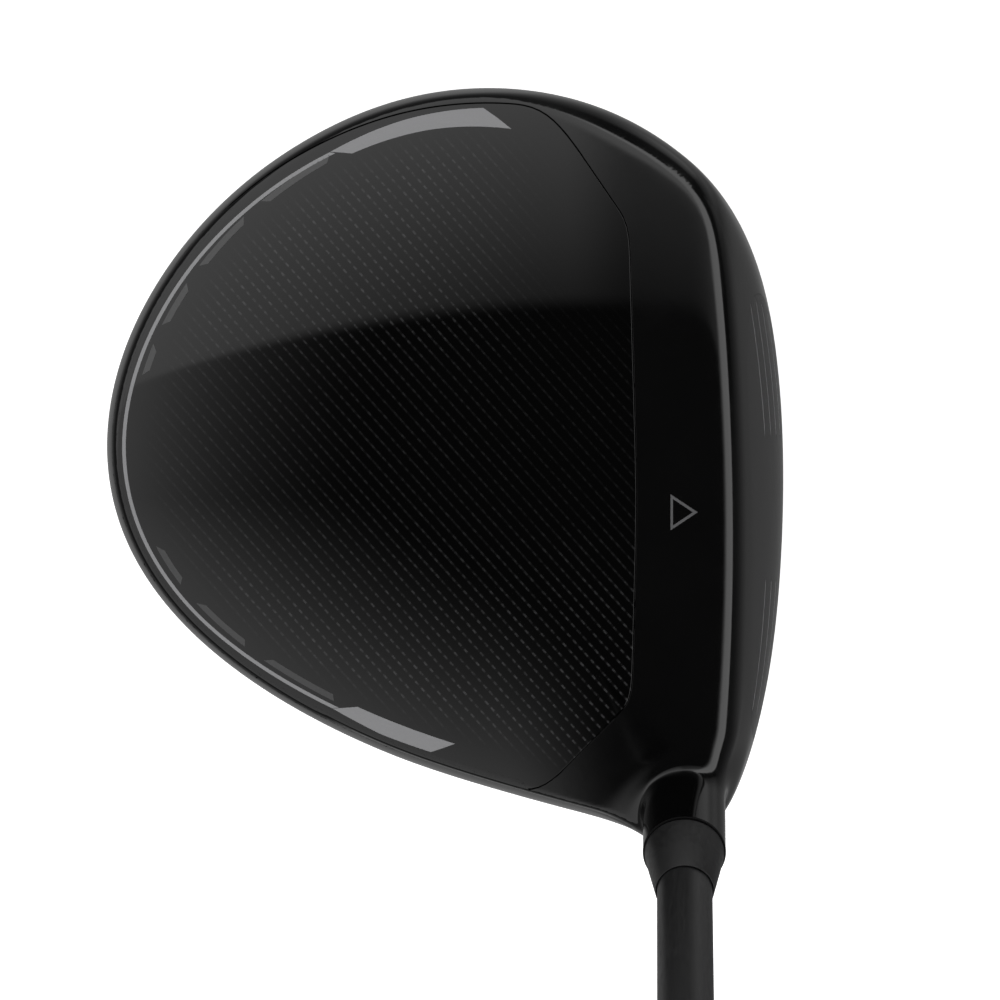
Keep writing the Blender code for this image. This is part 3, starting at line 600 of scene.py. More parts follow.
class Shader:
    """Short calls for the nodes of one material or world."""

    def __init__(self, tree):
        self.tree = tree

    def add(self, kind, **settings):
        node = self.tree.nodes.new(kind)
        for key, value in settings.items():
            setattr(node, key, value)
        return node

    def feed(self, socket, value):
        if isinstance(value, bpy.types.NodeSocket):
            self.tree.links.new(value, socket)
        else:
            socket.default_value = value

    def math(self, operation, first, second=0.0, third=0.0):
        node = self.add("ShaderNodeMath", operation=operation)
        for socket, value in zip(node.inputs, (first, second, third)):
            self.feed(socket, value)
        return node.outputs[0]

    def times(self, first, second):
        return self.math("MULTIPLY", first, second)

    def less(self, first, second):
        return self.math("SUBTRACT", first, second)

    def off_middle(self, value):
        """How far the value's fraction lies from a half."""
        return self.math("ABSOLUTE", self.less(self.math("FRACT", value), 0.5))

    def span(self, value, low, high, start=0.0, end=1.0, kind="SMOOTHSTEP"):
        """The value's place between low and high, mapped to start and end."""
        node = self.add("ShaderNodeMapRange", interpolation_type=kind)
        for socket, given in zip(node.inputs, (value, low, high, start, end)):
            self.feed(socket, given)
        return node.outputs[0]

    def split(self, vector):
        node = self.add("ShaderNodeSeparateXYZ")
        self.feed(node.inputs[0], vector)
        return node.outputs

    def dot(self, vector, other):
        node = self.add("ShaderNodeVectorMath", operation="DOT_PRODUCT")
        self.feed(node.inputs[0], vector)
        self.feed(node.inputs[1], other)
        return node.outputs["Value"]

    def place(self, stretch=(1, 1, 1)):
        """The object's own coordinates, stretched."""
        mapping = self.add("ShaderNodeMapping")
        self.feed(mapping.inputs["Vector"], self.add("ShaderNodeTexCoord").outputs["Object"])
        self.feed(mapping.inputs["Scale"], stretch)
        return mapping.outputs[0]

    def noise(self, scale, detail=2.0, stretch=(1, 1, 1)):
        node = self.add("ShaderNodeTexNoise")
        self.feed(node.inputs["Vector"], self.place(stretch))
        self.feed(node.inputs["Scale"], scale)
        self.feed(node.inputs["Detail"], detail)
        return node.outputs["Fac"]

    def mix(self, factor, first, second):
        node = self.add("ShaderNodeMix", data_type="RGBA")
        self.feed(node.inputs["Factor"], factor)
        for socket, colour in zip((node.inputs[6], node.inputs[7]), (first, second)):
            self.feed(socket, colour if isinstance(colour, bpy.types.NodeSocket) else (*colour, 1))
        return node.outputs[2]

    def bump(self, height, distance, strength=1.0):
        node = self.add("ShaderNodeBump")
        self.feed(node.inputs["Height"], height)
        self.feed(node.inputs["Distance"], distance)
        self.feed(node.inputs["Strength"], strength)
        return node.outputs["Normal"]

    def dress(self, surface, colour, roughness, normal):
        self.feed(surface.inputs["Base Color"], colour)
        self.feed(surface.inputs["Roughness"], roughness)
        self.feed(surface.inputs["Normal"], normal)


def new_material(name, colour, metallic=0.0, **fixed):
    """A material with its uniform values on the shader's own sockets."""
    made = bpy.data.materials.new(name)
    made.use_nodes = True
    made.diffuse_color = (*colour, 1)
    surface = made.node_tree.nodes["Principled BSDF"]
    surface.inputs["Base Color"].default_value = (*colour, 1)
    surface.inputs["Metallic"].default_value = metallic
    for key, value in fixed.items():
        surface.inputs[key.replace("_", " ")].default_value = value
    return made, Shader(made.node_tree), surface


def grey(level):
    return (level, level, level * 1.03)


def paint_material():
    """Gloss black lacquer with a faint orange peel."""
    made, shader, surface = new_material("gloss_black_paint", grey(0.0015))
    colour = shader.mix(shader.noise(60.0, 3.0), grey(0.0010), grey(0.0020))
    roughness = shader.span(shader.noise(240.0, 4.0), 0.3, 0.7, 0.09, 0.13)
    shader.dress(surface, colour, roughness, shader.bump(shader.noise(700.0, 1.5), 0.00002, 0.25))
    return made


LACQUER = {"Specular_IOR_Level": 0.0, "Coat_Weight": 1.0, "Coat_Roughness": 0.05, "Coat_IOR": 1.5}


def carbon_material(name, glint_strength_from):
    """Carbon cloth under clear lacquer. Fine threads run one way, broken into dashes where the
    painted glint is strong: the threads' light base colour is a painted glint, standing in for the
    light their fibres catch."""
    made, shader, surface = new_material(name, grey(0.0006), **LACQUER)
    place = shader.place()
    cosine, sine = math.cos(WEAVE_ANGLE), math.sin(WEAVE_ANGLE)
    row = shader.math("DIVIDE", shader.dot(place, (sine, cosine, 0)), WEAVE_ROW)
    step = shader.math("DIVIDE", shader.dot(place, (cosine, -sine, 0)), WEAVE_STEP)
    off_row = shader.off_middle(row)
    off_step = shader.off_middle(shader.math("MULTIPLY_ADD", shader.math("FLOOR", row), 0.5, step))
    thread = shader.span(off_row, 0.15, 0.04)
    stitch = shader.span(off_step, 0.36, 0.16)
    tow = shader.times(shader.span(off_row, 0.5, 0.0), shader.span(off_step, 0.5, 0.1))
    if glint_strength_from:
        strength = shader.add("ShaderNodeAttribute", attribute_name=glint_strength_from).outputs["Fac"]
    else:
        strength = shader.span(shader.noise(25.0, 1.0), 0.2, 0.8, 0.35, 0.6)
    dashed = shader.span(strength, 0.25, 0.75, 0.45, 0.12)
    run = shader.math("MULTIPLY_ADD", stitch, shader.less(1.0, dashed), dashed)
    uneven = shader.span(shader.noise(900.0, 2.0), 0.3, 0.7, 0.35, 1.25)
    # Painted glint: the threads' light base colour, scaled by the strength map and a random
    # unevenness
    glint = shader.times(shader.times(thread, run), shader.times(strength, uneven))
    colour = shader.mix(glint, grey(0.0004), grey(PAINTED_GLINT_LEVEL))
    roughness = shader.span(tow, 0.0, 1.0, 0.42, 0.30)
    shader.dress(surface, colour, roughness, shader.bump(tow, 0.00006, 0.35))
    return made


def print_material(name, level):
    """Flat ink under the lacquer, with a very fine grain."""
    made, shader, surface = new_material(name, grey(level), Coat_Weight=1.0, Coat_Roughness=0.08)
    grain = shader.noise(5000.0, 2.0)
    colour = shader.mix(grain, grey(level * 0.88), grey(level * 1.12))
    normal = shader.bump(shader.noise(3000.0, 1.0), 0.000004, 0.3)
    shader.dress(surface, colour, shader.span(grain, 0.3, 0.7, 0.45, 0.6), normal)
    return made


def face_material():
    """Dark face metal, finely brushed from heel to toe."""
    made, shader, surface = new_material("brushed_face", grey(0.010), 0.2)
    brush = shader.noise(2600.0, 3.0, (1, 0.05, 1))
    roughness = shader.span(brush, 0.3, 0.7, 0.20, 0.26)
    colour = shader.mix(brush, grey(0.008), grey(0.013))
    shader.dress(surface, colour, roughness, shader.bump(brush, 0.000003, 0.25))
    return made


def satin_material(name, level, rough, grain_scale, bump_height, stretch=(1, 1, 1), **fixed):
    """A satin surface whose grain feeds colour, roughness and bump."""
    made, shader, surface = new_material(name, grey(level), **fixed)
    grain = shader.noise(grain_scale, 4.0, stretch)
    colour = shader.mix(grain, grey(level * 0.75), grey(level * 1.3))
    roughness = shader.span(grain, 0.3, 0.7, rough - 0.05, rough + 0.06)
    shader.dress(surface, colour, roughness, shader.bump(grain, bump_height, 0.5))
    return made


def rubber_material(name, level):
    """Moulded rubber with a fine pebble grain."""
    made, shader, surface = new_material(name, grey(level))
    pebbles = shader.add("ShaderNodeTexVoronoi")
    shader.feed(pebbles.inputs["Vector"], shader.place())
    shader.feed(pebbles.inputs["Scale"], 1900.0)
    grain = pebbles.outputs["Distance"]
    colour = shader.mix(shader.noise(45.0, 3.0), grey(level * 0.8), grey(level * 1.35))
    roughness = shader.span(grain, 0.0, 0.6, 0.72, 0.88)
    shader.dress(surface, colour, roughness, shader.bump(grain, 0.00005, 0.5))
    return made


WEAVE_ANGLE = math.radians(48.0)
WEAVE_ROW = 0.0016
WEAVE_STEP = 0.00145
# the base colour of the painted glint on the threads
PAINTED_GLINT_LEVEL = 0.032


def make_materials():
    return {
        "paint": paint_material(),
        "crown": carbon_material("crown_carbon", "painted_glint_strength"),
        "sole_carbon": carbon_material("sole_carbon", None),
        "accent": print_material("accent_ink", 0.17),
        "ghost": print_material("ghost_ink", 0.015),
        "mark": print_material("mark_ink", 0.075),
        "face": face_material(),
        # light grey in the score lines: partly paint fill, partly a painted highlight standing in
        # for the glint at their ends
        "score": satin_material("score_fill_and_painted_glint", 0.30, 0.45, 3000.0, 0.000003),
        "collar": satin_material(
            "anodised_alloy", 0.0020, 0.50, 1500.0, 0.000006, Specular_IOR_Level=0.12
        ),
        "ferrule": satin_material("ferrule_plastic", 0.0060, 0.36, 1200.0, 0.000008),
        "shaft": satin_material("shaft_paint", 0.0085, 0.36, 2200.0, 0.000006, (1, 0.15, 0.15)),
        "grip": rubber_material("grip_rubber", 0.012),
        "plug": rubber_material("plug_rubber", 0.010),
        "steel": satin_material("machined_steel", 0.32, 0.26, 2600.0, 0.000004, metallic=1.0),
        "tungsten": satin_material("tungsten", 0.11, 0.34, 1800.0, 0.000008, metallic=1.0),
        "tape": satin_material("paper_tape", 0.50, 0.80, 700.0, 0.00003),
        "nylon": satin_material("nylon", 0.30, 0.55, 1500.0, 0.00001),
    }


# ---- the head ----


def skin_mesh():
    """One even closed mesh over head and hosel, pulled exactly onto the skin."""
    shape = bmesh.new()
    bmesh.ops.create_icosphere(shape, subdivisions=6, radius=1)
    directions = np.array([v.co[:] for v in shape.verts])
    directions /= np.linalg.norm(directions, axis=1, keepdims=True)
    low = np.zeros((len(directions), 1))
    reach = crossing(
        low, low + FARTHEST, lambda out: head_field(PIVOT + out * directions)[:, None] > 0, 24
    )
    for vertex, place in zip(shape.verts, PIVOT + reach * directions):
        vertex.co = place
    bottom, top = HOSEL_SPAN
    lift = SHAFT @ Matrix.Translation((0, 0, (bottom + top) / 2))
    radius = HOSEL_RADIUS + 0.0003
    size = {"radius1": radius, "radius2": radius, "depth": top - bottom}
    bmesh.ops.create_cone(shape, cap_ends=True, segments=72, matrix=lift, **size)
    item = loose_object("skin", mesh_of("skin", shape))
    remesh = item.modifiers.new("even", "REMESH")
    remesh.mode = "VOXEL"
    remesh.voxel_size = VOXEL
    even = evaluated_mesh(item)
    bpy.data.objects.remove(item)
    points = pulled_to_skin(read_all(even.vertices, "co", 3))
    edges = read_all(even.edges, "vertices", 2, np.int32)
    for _ in range(3):
        points = pulled_to_skin(relaxed(points, edges), 4)
    even.vertices.foreach_set("co", points.ravel())
    even.update()
    return even


def relaxed(points, edges):
    """Each point moved halfway to the mean of its neighbours."""
    start, end = np.concatenate([edges, edges[:, ::-1]]).T
    count = np.bincount(start, minlength=len(points))
    sums = [np.bincount(start, points[end, axis], len(points)) for axis in range(3)]
    return (points + np.stack(sums, axis=1) / count[:, None]) / 2


def hosel_cutter():
    """Cuts the hosel's top flat with a broken edge, and bores it down to the wrench port."""
    break_edge = 0.00012
    outer = HOSEL_RADIUS + 0.003
    slope_end = HOSEL_TOP - (outer - HOSEL_RADIUS + break_edge)
    profile = (
        (0, HOSEL_TOP + 0.012),
        (outer, HOSEL_TOP + 0.012),
        (outer, slope_end),
        (HOSEL_RADIUS - break_edge, HOSEL_TOP),
        (KEYWAY_RADIUS + break_edge, HOSEL_TOP),
        (KEYWAY_RADIUS, HOSEL_TOP - break_edge),
        (KEYWAY_RADIUS, HOSEL_TOP - KEYWAY_DEPTH),
        (BORE_RADIUS, HOSEL_TOP - KEYWAY_DEPTH),
        (BORE_RADIUS, WEB_TOP),
        (WEB_HOLE_RADIUS, WEB_TOP),
        (WEB_HOLE_RADIUS, WEB_BOTTOM),
        (PORT_RADIUS, WEB_BOTTOM),
        (PORT_RADIUS, -0.02),
        (0, -0.02),
    )
    return turned_object("hosel_cutter", profile, SHAFT)


WEIGHTS = {"back": (-0.059, 0.001), "toe": (0.006, 0.041), "heel": (-0.012, -0.040)}
WEIGHT_RADIUS = 0.0063
WEIGHT_HOLE = 0.0023
WEIGHT_FACE = 0.0005
WEIGHT_BACK = 0.0050
WEIGHT_SCREW_TIP = 0.0100
WEIGHT_COUNTERBORE = 0.0037
WEIGHT_FLOOR = WEIGHT_FACE + 0.0027
WEIGHT_THREAD = (0.0007, 0.0003)  # pitch and depth
PLUG_PLACE = (math.radians(-112), math.radians(-3))  # azimuth and elevation from the pivot
PLUG_RADIUS = 0.0028
PLUG_DEPTH = 0.0036


def inward_at(point):
    """Local Z into the head from a point on the skin."""
    slope = skin_slope(np.array(point, float))
    return placed(point, -slope, "Y")


def weight_placement(place):
    return inward_at(skin_along(np.array(place), -INSET, **DOWNWARDS))


def port_placement():
    azimuth, elevation = PLUG_PLACE
    flat = math.cos(elevation)
    direction = np.array((flat * math.cos(azimuth), flat * math.sin(azimuth), math.sin(elevation)))
    reach = crossing(0.0, FARTHEST, lambda out: skin_field(PIVOT + out * direction) > INSET, 30)
    return inward_at(PIVOT + reach * direction)


def pocket_cutter(placement):
    rim = WEIGHT_RADIUS + GAP
    profile = (
        (0, WEIGHT_SCREW_TIP + 0.001),
        (0, -0.006),
        (rim + 0.0012, -0.006),
        (rim + 0.0012, -0.0004),
        (rim, 0.0006),
        (rim, WEIGHT_BACK + GAP),
        (WEIGHT_HOLE, WEIGHT_BACK + GAP),
        (WEIGHT_HOLE, WEIGHT_SCREW_TIP + 0.001),
    )
    return turned_object("pocket_cutter", profile, placement)


def port_cutter():
    radius = PLUG_RADIUS + GAP
    profile = (
        (0, 0.0065),
        (0, -0.004),
        (radius + 0.0008, -0.004),
        (radius, 0.0002),
        (radius, 0.0065),
    )
    return turned_object("port_cutter", profile, port_placement())


def make_head(finishes):
    body = loose_object("head_shell", skin_mesh())
    cutters = [hosel_cutter(), port_cutter()]
    cutters += [pocket_cutter(weight_placement(place)) for place in WEIGHTS.values()]
    panel_edge = recess_edge(PANEL_LIP, LEDGE_DEPTH)
    face_edge = recess_edge(FACE_LIP, FACE_RECESS, FACE_SEAM)
    recesses = [(CROWN_OUTLINE, panel_edge, 24, UPWARDS)]
    recesses += [(outline, panel_edge, 16, DOWNWARDS) for outline in SOLE_OUTLINES.values()]
    recesses += [(face_outline, face_edge, 16, FORWARDS)]
    for outline, edge, rings, way in recesses:
        recess = skin_plate("recess", outline, edge, rings=rings, **way)
        cutters.append(loose_object("recess", recess))
    carved(body, cutters)
    shade(body.data)
    follow_skin(body.data)
    finished(body, finishes["paint"], "head", ["head_body"])


def add_plate(name, outline, depth, way, rings, finish, round_by=0.00018):
    mesh = skin_plate(name, outline, plate_edge(round_by, depth), rings=rings, **way)
    shade(mesh, 40)
    follow_skin(mesh, 12)
    return finished(loose_object(name, mesh), finish, "head", [name])


# Where the crown's threads carry their painted glint, and how strongly: brightest toward the heel,
# then the toe and the rear, where light catches them
GLINT_EDGE = (0.0055, 0.013)  # the painted glint fades in over this distance from the rim
GLINT_HEEL = (0.004, 0.038)  # and over each of these ranges, along -Y for the heel,
GLINT_TOE = (0.012, 0.030)  # +Y for the toe
GLINT_TOE_BACK = (-0.004, 0.022)
GLINT_REAR = (-0.010, 0.035)  # and -X for the rear
GLINT_BARE = (0.010, 0.030)  # the front of the toe gets no painted glint
GLINT_SHARES = (0.14, 0.16, 0.66, 0.50)  # everywhere, rear, heel and toe


def make_crown(finishes):
    crown = add_plate(
        "crown_panel", CROWN_OUTLINE, PANEL_DEPTH, UPWARDS, 72, finishes["crown"]
    )
    # Per vertex, the strength of the painted glint, which stands in for light falling unevenly on
    # the threads across the crown
    x, y, _ = read_all(crown.data.vertices, "co", 3).T
    out_x, out_y = x - PIVOT[0], y - PIVOT[1]
    inset = plan_radius(np.arctan2(out_y, out_x)) - np.hypot(out_x, out_y)
    behind = smooth_step(-x, *GLINT_TOE_BACK)
    rear = smooth_step(-x, *GLINT_REAR)
    heel = smooth_step(-y, *GLINT_HEEL)
    toe = smooth_step(y, *GLINT_TOE) * behind
    bare = 1 - smooth_step(y, *GLINT_BARE) * (1 - behind)
    strength = np.stack([np.ones(len(x)), rear, heel, toe], axis=1) @ np.array(GLINT_SHARES)
    painted_glint_strength = crown.data.attributes.new("painted_glint_strength", "FLOAT", "POINT")
    painted_glint_strength.data.foreach_set("value", smooth_step(inset, *GLINT_EDGE) * bare * strength)


SCORE_MIDDLE = -0.008
SCORE_ROWS = [0.0130 + 0.0050 * k for k in range(6)]
SCORE_BLANK = 0.0115  # half the blank centre
SCORE_REACH = (0.035, 0.032, 0.028)  # the lines end on an oval: half width, centre and half height
SCORE_POINTS = 28
ROD_SIDES = 12
GROOVE = (-0.00012, 0.00030)  # depth of the rod's middle, and its radius
GROOVE_FILL = (0.00013, 0.00012)


def score_lines(depth, radius):
    """Round-ended rods along the score lines, heel to toe on both sides of a blank centre."""
    width, centre_z, height = SCORE_REACH
    rods = []
    for z in SCORE_ROWS:
        outer = width * math.sqrt(max(0.0, 1 - ((z - centre_z) / height) ** 2))
        for side in (-1, 1):
            y = SCORE_MIDDLE + side * np.linspace(SCORE_BLANK, outer, SCORE_POINTS)
            centres = skin_along(np.stack([y, np.full(SCORE_POINTS, z)], axis=1), depth, **FORWARDS)
            rods.append(rod(centres, radius))
    return rods


def joined(items):
    """One mesh from several objects, which are removed."""
    shape = bmesh.new()
    for item in items:
        shape.from_mesh(item.data)
        bpy.data.objects.remove(item)
    return mesh_of("joined", shape)


def rod(centres, radius):
    """A round-ended rod along the points."""
    count = len(centres)
    ends = np.minimum(np.arange(count), np.arange(count)[::-1]) / 2.0
    reach = radius * np.sqrt(np.clip(1 - (1 - np.clip(ends + 0.25, 0, 1)) ** 2, 0.05, 1))
    angles = np.linspace(0, 2 * math.pi, ROD_SIDES, endpoint=False)
    circle = np.stack([np.cos(angles), np.zeros(ROD_SIDES), np.sin(angles)], axis=1)
    vertices = np.concatenate([centre + size * circle for centre, size in zip(centres, reach)])
    last = ROD_SIDES * (count - 1)
    faces = [tuple(range(ROD_SIDES)), tuple(reversed(range(last, last + ROD_SIDES)))]
    for near in range(0, last, ROD_SIDES):
        far = near + ROD_SIDES
        for i in range(ROD_SIDES):
            j = (i + 1) % ROD_SIDES
            faces.append((near + i, far + i, far + j, near + j))
    return loose_object("rod", mesh_from("rod", vertices, faces))


def make_face(finishes):
    edge = plate_edge(FACE_EDGE_ROUND, FACE_DEPTH)
    mesh = skin_plate("face_plate", face_outline, edge, rings=36, **FORWARDS)
    face = carved(loose_object("face_plate_shell", mesh), score_lines(*GROOVE))
    shade(face.data)
    follow_skin(face.data, 12)
    finished(face, finishes["face"], "head", ["face_plate"])
    # The score lines' light fill: partly paint fill, partly a painted highlight standing in for the
    # glint at their ends
    fill = joined(score_lines(*GROOVE_FILL))
    shade(fill)
    finished(loose_object("score_fill_and_painted_glint", fill), finishes["score"], "head")


# ---- printed lines on the crown ----


def polar_strip(start, end, outer, inner, steps, across=3):
    """Plan points between two insets from the rim. Each end is an (outer, inner) pair of angles."""
    s = np.linspace(0, 1, steps)[:, None]
    t = np.linspace(0, 1, across)[None, :]
    first = start[0] + (start[1] - start[0]) * t
    last = end[0] + (end[1] - end[0]) * t
    angle = np.radians(first + (last - first) * s)
    inset = outer(s) * (1 - t) + inner(s) * t
    radius = plan_radius(angle) - inset
    return PIVOT[:2] + np.stack([radius * np.cos(angle), radius * np.sin(angle)], axis=-1)


def ramp(*values):
    """A function of 0 to 1 that passes evenly through the values."""
    stops = np.linspace(0, 1, len(values))
    return lambda s: np.interp(s, stops, values)


def add_print(name, plan, finish, closed=False, height=0.00002):
    mesh = skin_strip(name, plan, -height, 0.00003, closed=closed)
    shade(mesh)
    return finished(loose_object(name, mesh), finish, "head")


ACCENTS = {  # angles at the start and at the end, insets of the outer and of the inner edge
    "toe": ((96.6, 92.2), (122.2, 119.3), (0.0036, 0.0037, 0.0040), (0.0070, 0.0063, 0.0059)),
    "heel": ((232.4, 236.0), (252.3, 256.3), (0.0032, 0.0027, 0.0029), (0.0053, 0.0054, 0.0055)),
}
FINE_LINE = (0.0040, 0.0032, 0.0028, 0.0028, 0.0032)
FINE_WIDTH = 0.0006
DASHES = (  # where each starts and ends
    (122.6, 135.5),
    (139.0, 149.2),
    (152.3, 159.6),
    (162.6, 167.5),
    (193.2, 200.0),
    (203.6, 213.8),
    (217.6, 231.8),
)
DASH_INSETS = (0.0044, 0.0054)
MARK = ((0.0197, -0.0087), 0.0030, 0.00040)  # centre, size and line width
MARK_SPREAD = 1.15  # how much wider it is than an even triangle


def make_graphics(finishes):
    for place, (start, end, outer, inner) in ACCENTS.items():
        strip = polar_strip(start, end, ramp(*outer), ramp(*inner), 40)
        add_print(f"accent_{place}", strip, finishes["accent"])
    inner = [inset + FINE_WIDTH for inset in FINE_LINE]
    strip = polar_strip((122.3, 121.6), (232.3, 233.2), ramp(*FINE_LINE), ramp(*inner), 160)
    add_print("accent_line", strip, finishes["accent"])
    outer, inner = DASH_INSETS
    for k, (first, last) in enumerate(DASHES):
        ends = (first, first + 1.0), (last, last - 1.0)
        strip = polar_strip(*ends, ramp(outer, outer), ramp(inner, inner), 14)
        add_print(f"ghost_dash_{k}", strip, finishes["ghost"])
    add_print("alignment_mark", triangle_ring(*MARK), finishes["mark"], closed=True)


def triangle_ring(centre, size, width):
    """The outline of a small triangle that points forwards."""
    turns = np.radians((0, 120, 240))
    corners = np.stack([np.cos(turns), np.sin(turns) * MARK_SPREAD], axis=1)
    edges = [np.array(centre) + scale * corners for scale in (size, size - 2 * width)]
    rows = []
    for k in range(3):
        for t in np.linspace(0, 1, 8, endpoint=False):
            rows.append([edge[k] * (1 - t) + edge[(k + 1) % 3] * t for edge in edges])
    return np.array(rows)


def make_sole(finishes):
    for side, outline in SOLE_OUTLINES.items():
        name = f"sole_panel_{side}"
        add_plate(name, outline, PANEL_DEPTH, DOWNWARDS, 32, finishes["sole_carbon"])


# ---- turned pieces ----


def thread(pitch, depth, low, high):
    """A displacement that cuts a thread between two heights."""

    def displace(angles, radius, height):
        if not low < height < high:
            return 0 * angles
        turn = (height / pitch - angles / (2 * math.pi)) % 1.0
        return -depth * np.abs(2 * turn - 1)

    return displace


def threaded_run(radius, high, low, pitch):
    """Profile points close enough together for a thread to be cut in them."""
    count = int((high - low) / (pitch / 6))
    return [(radius, high + (low - high) * k / count) for k in range(count + 1)]


def star_cutter(placement, radius, low, high):
    """A six-lobed drive socket."""

    def lobes(angles, *_):
        return 0.14 * radius * (np.cos(6 * angles) - 1)

    profile = ((0, high), (radius, high), (radius, low), (0, low))
    return turned_object("star", profile, placement, 72, lobes)


def make_weights(finishes):
    for side, place in WEIGHTS.items():
        placement = weight_placement(place)
        body = (
            (WEIGHT_HOLE, WEIGHT_BACK),
            (WEIGHT_RADIUS, WEIGHT_BACK),
            (WEIGHT_RADIUS, WEIGHT_FACE),
            (WEIGHT_RADIUS - 0.0012, WEIGHT_FACE),
            (WEIGHT_RADIUS - 0.0014, WEIGHT_FACE + 0.0002),
            (WEIGHT_COUNTERBORE + 0.0004, WEIGHT_FACE + 0.0002),
            (WEIGHT_COUNTERBORE, WEIGHT_FACE + 0.0006),
            (WEIGHT_COUNTERBORE, WEIGHT_FLOOR),
            (WEIGHT_HOLE, WEIGHT_FLOOR),
        )
        name = f"weight_{side}"
        disc = filleted(body, 0.00025)
        add_turned(f"{name}_disc", disc, placement, finishes["tungsten"], name, "tungsten", [name])
        stem = WEIGHT_HOLE - GAP
        head = WEIGHT_COUNTERBORE - GAP
        under = WEIGHT_FLOOR - GAP
        profile = [(0, WEIGHT_SCREW_TIP), (stem - 0.0005, WEIGHT_SCREW_TIP)]
        profile += threaded_run(stem, WEIGHT_SCREW_TIP - 0.0005, under + 0.0004, WEIGHT_THREAD[0])
        profile += [(stem, under), (head, under), (head, WEIGHT_FACE + 0.0008)]
        profile += [(head - 0.0001, WEIGHT_FACE + 0.0005), (head - 0.0004, WEIGHT_FACE + 0.0003)]
        profile += [(0, WEIGHT_FACE + 0.0003)]
        name = f"weight_screw_{side}"
        cut = thread(*WEIGHT_THREAD, under + 0.0004, WEIGHT_SCREW_TIP)
        screw = turned_object(f"{name}_bolt", profile, placement, 72, cut)
        carved(screw, [star_cutter(placement, 0.0021, -0.001, 0.0022)])
        shade(screw.data)
        finished(screw, finishes["steel"], name, [name])


SLEEVE_BOTTOM = 0.0260
SLEEVE_RADIUS = 0.0053
SLEEVE_THREAD_END = 0.0380
COLLAR_LIFT = 0.0001
COLLAR_THICKNESS = 0.0004
COLLAR_RADIUS = 0.0069
SCREW_HEAD_BOTTOM = 0.0120
SCREW_TIP = 0.0356
SCREW_RADIUS = 0.0022
SCREW_HEAD_RADIUS = 0.0040
SCREW_THREAD = (0.0008, 0.00035)  # pitch and depth
TIP_RADIUS = 0.00425
FERRULE_BOTTOM = HOSEL_TOP + 2 * COLLAR_LIFT + COLLAR_THICKNESS
FERRULE_LENGTH = 0.0115
FERRULE_RADIUS = 0.00665
EXIT_RADIUS = 0.0046
BUTT_RADIUS = 0.00762
SHAFT_TIP = 0.0400
SHAFT_END = 1.1500
SHAFT_WALL = 0.0012
GRIP_START = 0.886
GRIP_END = 1.1505
GRIP_MOUTH_RADIUS = 0.0091
GRIP_BUTT_RADIUS = 0.0131
CLUB_LENGTH = 1.1557


def shaft_radius(u):
    exit_u = FERRULE_BOTTOM + FERRULE_LENGTH
    stops = (SHAFT_TIP, FERRULE_BOTTOM, exit_u, SHAFT_END)
    return float(np.interp(u, stops, (TIP_RADIUS, TIP_RADIUS, EXIT_RADIUS, BUTT_RADIUS)))


def make_adapter(finishes):
    key_bottom = HOSEL_TOP - KEYWAY_DEPTH + 2 * GAP
    collar = HOSEL_TOP + COLLAR_LIFT
    shaft_bore = TIP_RADIUS + GAP
    bore = SCREW_RADIUS + GAP
    profile = (
        (COLLAR_RADIUS, collar + COLLAR_THICKNESS),
        (COLLAR_RADIUS, collar),
        (KEYWAY_RADIUS - GAP, collar),
        (KEYWAY_RADIUS - GAP, key_bottom),
        (SLEEVE_RADIUS, key_bottom),
        (SLEEVE_RADIUS, SLEEVE_BOTTOM + 0.0008),
        (SLEEVE_RADIUS - 0.0008, SLEEVE_BOTTOM),
        (bore, SLEEVE_BOTTOM),
        (bore, SLEEVE_THREAD_END),
        (shaft_bore, SLEEVE_THREAD_END),
        (shaft_bore, collar + COLLAR_THICKNESS),
    )
    ring = filleted(profile, 0.00015)
    add_turned("sleeve", ring, SHAFT, finishes["collar"], "club", "sleeve_alloy", ["hosel_sleeve"])
    bottom, wide = SCREW_HEAD_BOTTOM, SCREW_HEAD_RADIUS
    head_top = bottom + 0.0040
    profile = [(0, SCREW_TIP), (SCREW_RADIUS - 0.0006, SCREW_TIP)]
    profile += threaded_run(SCREW_RADIUS, SCREW_TIP - 0.0006, head_top + 0.0040, SCREW_THREAD[0])
    profile += [(SCREW_RADIUS, head_top), (wide, head_top), (wide, bottom + 0.0006)]
    profile += [(wide - 0.0002, bottom + 0.0002), (wide - 0.0006, bottom), (0, bottom)]
    cut = thread(*SCREW_THREAD, head_top + 0.0041, SCREW_TIP)
    screw = turned_object("adapter_screw", profile, SHAFT, 72, cut)
    carved(screw, [star_cutter(SHAFT, 0.0026, bottom - 0.004, bottom + 0.0025)])
    shade(screw.data)
    finished(screw, finishes["steel"], "screw", ["hosel_screw"])


def make_ferrule(finishes):
    bottom, top = FERRULE_BOTTOM, FERRULE_BOTTOM + FERRULE_LENGTH
    profile = (
        (EXIT_RADIUS + 0.00030, top),
        (FERRULE_RADIUS, bottom),
        (shaft_radius(bottom) + 0.0001, bottom),
        (shaft_radius(top) + 0.0001, top),
    )
    cone = filleted(profile, 0.00020, 6)
    finish = finishes["ferrule"]
    add_turned("ferrule_cone", cone, SHAFT, finish, "club", "ferrule", ["ferrule"], steps=128)


def make_shaft(finishes):
    exit_u = FERRULE_BOTTOM + FERRULE_LENGTH
    stops = [SHAFT_END, *np.linspace(GRIP_START, exit_u, 60), FERRULE_BOTTOM, SHAFT_TIP]
    profile = [(shaft_radius(u), u) for u in stops]
    profile += [(shaft_radius(u) - SHAFT_WALL, u) for u in reversed(stops)]
    add_turned("shaft_tube", profile, SHAFT, finishes["shaft"], "club", "shaft_paint", ["shaft"])


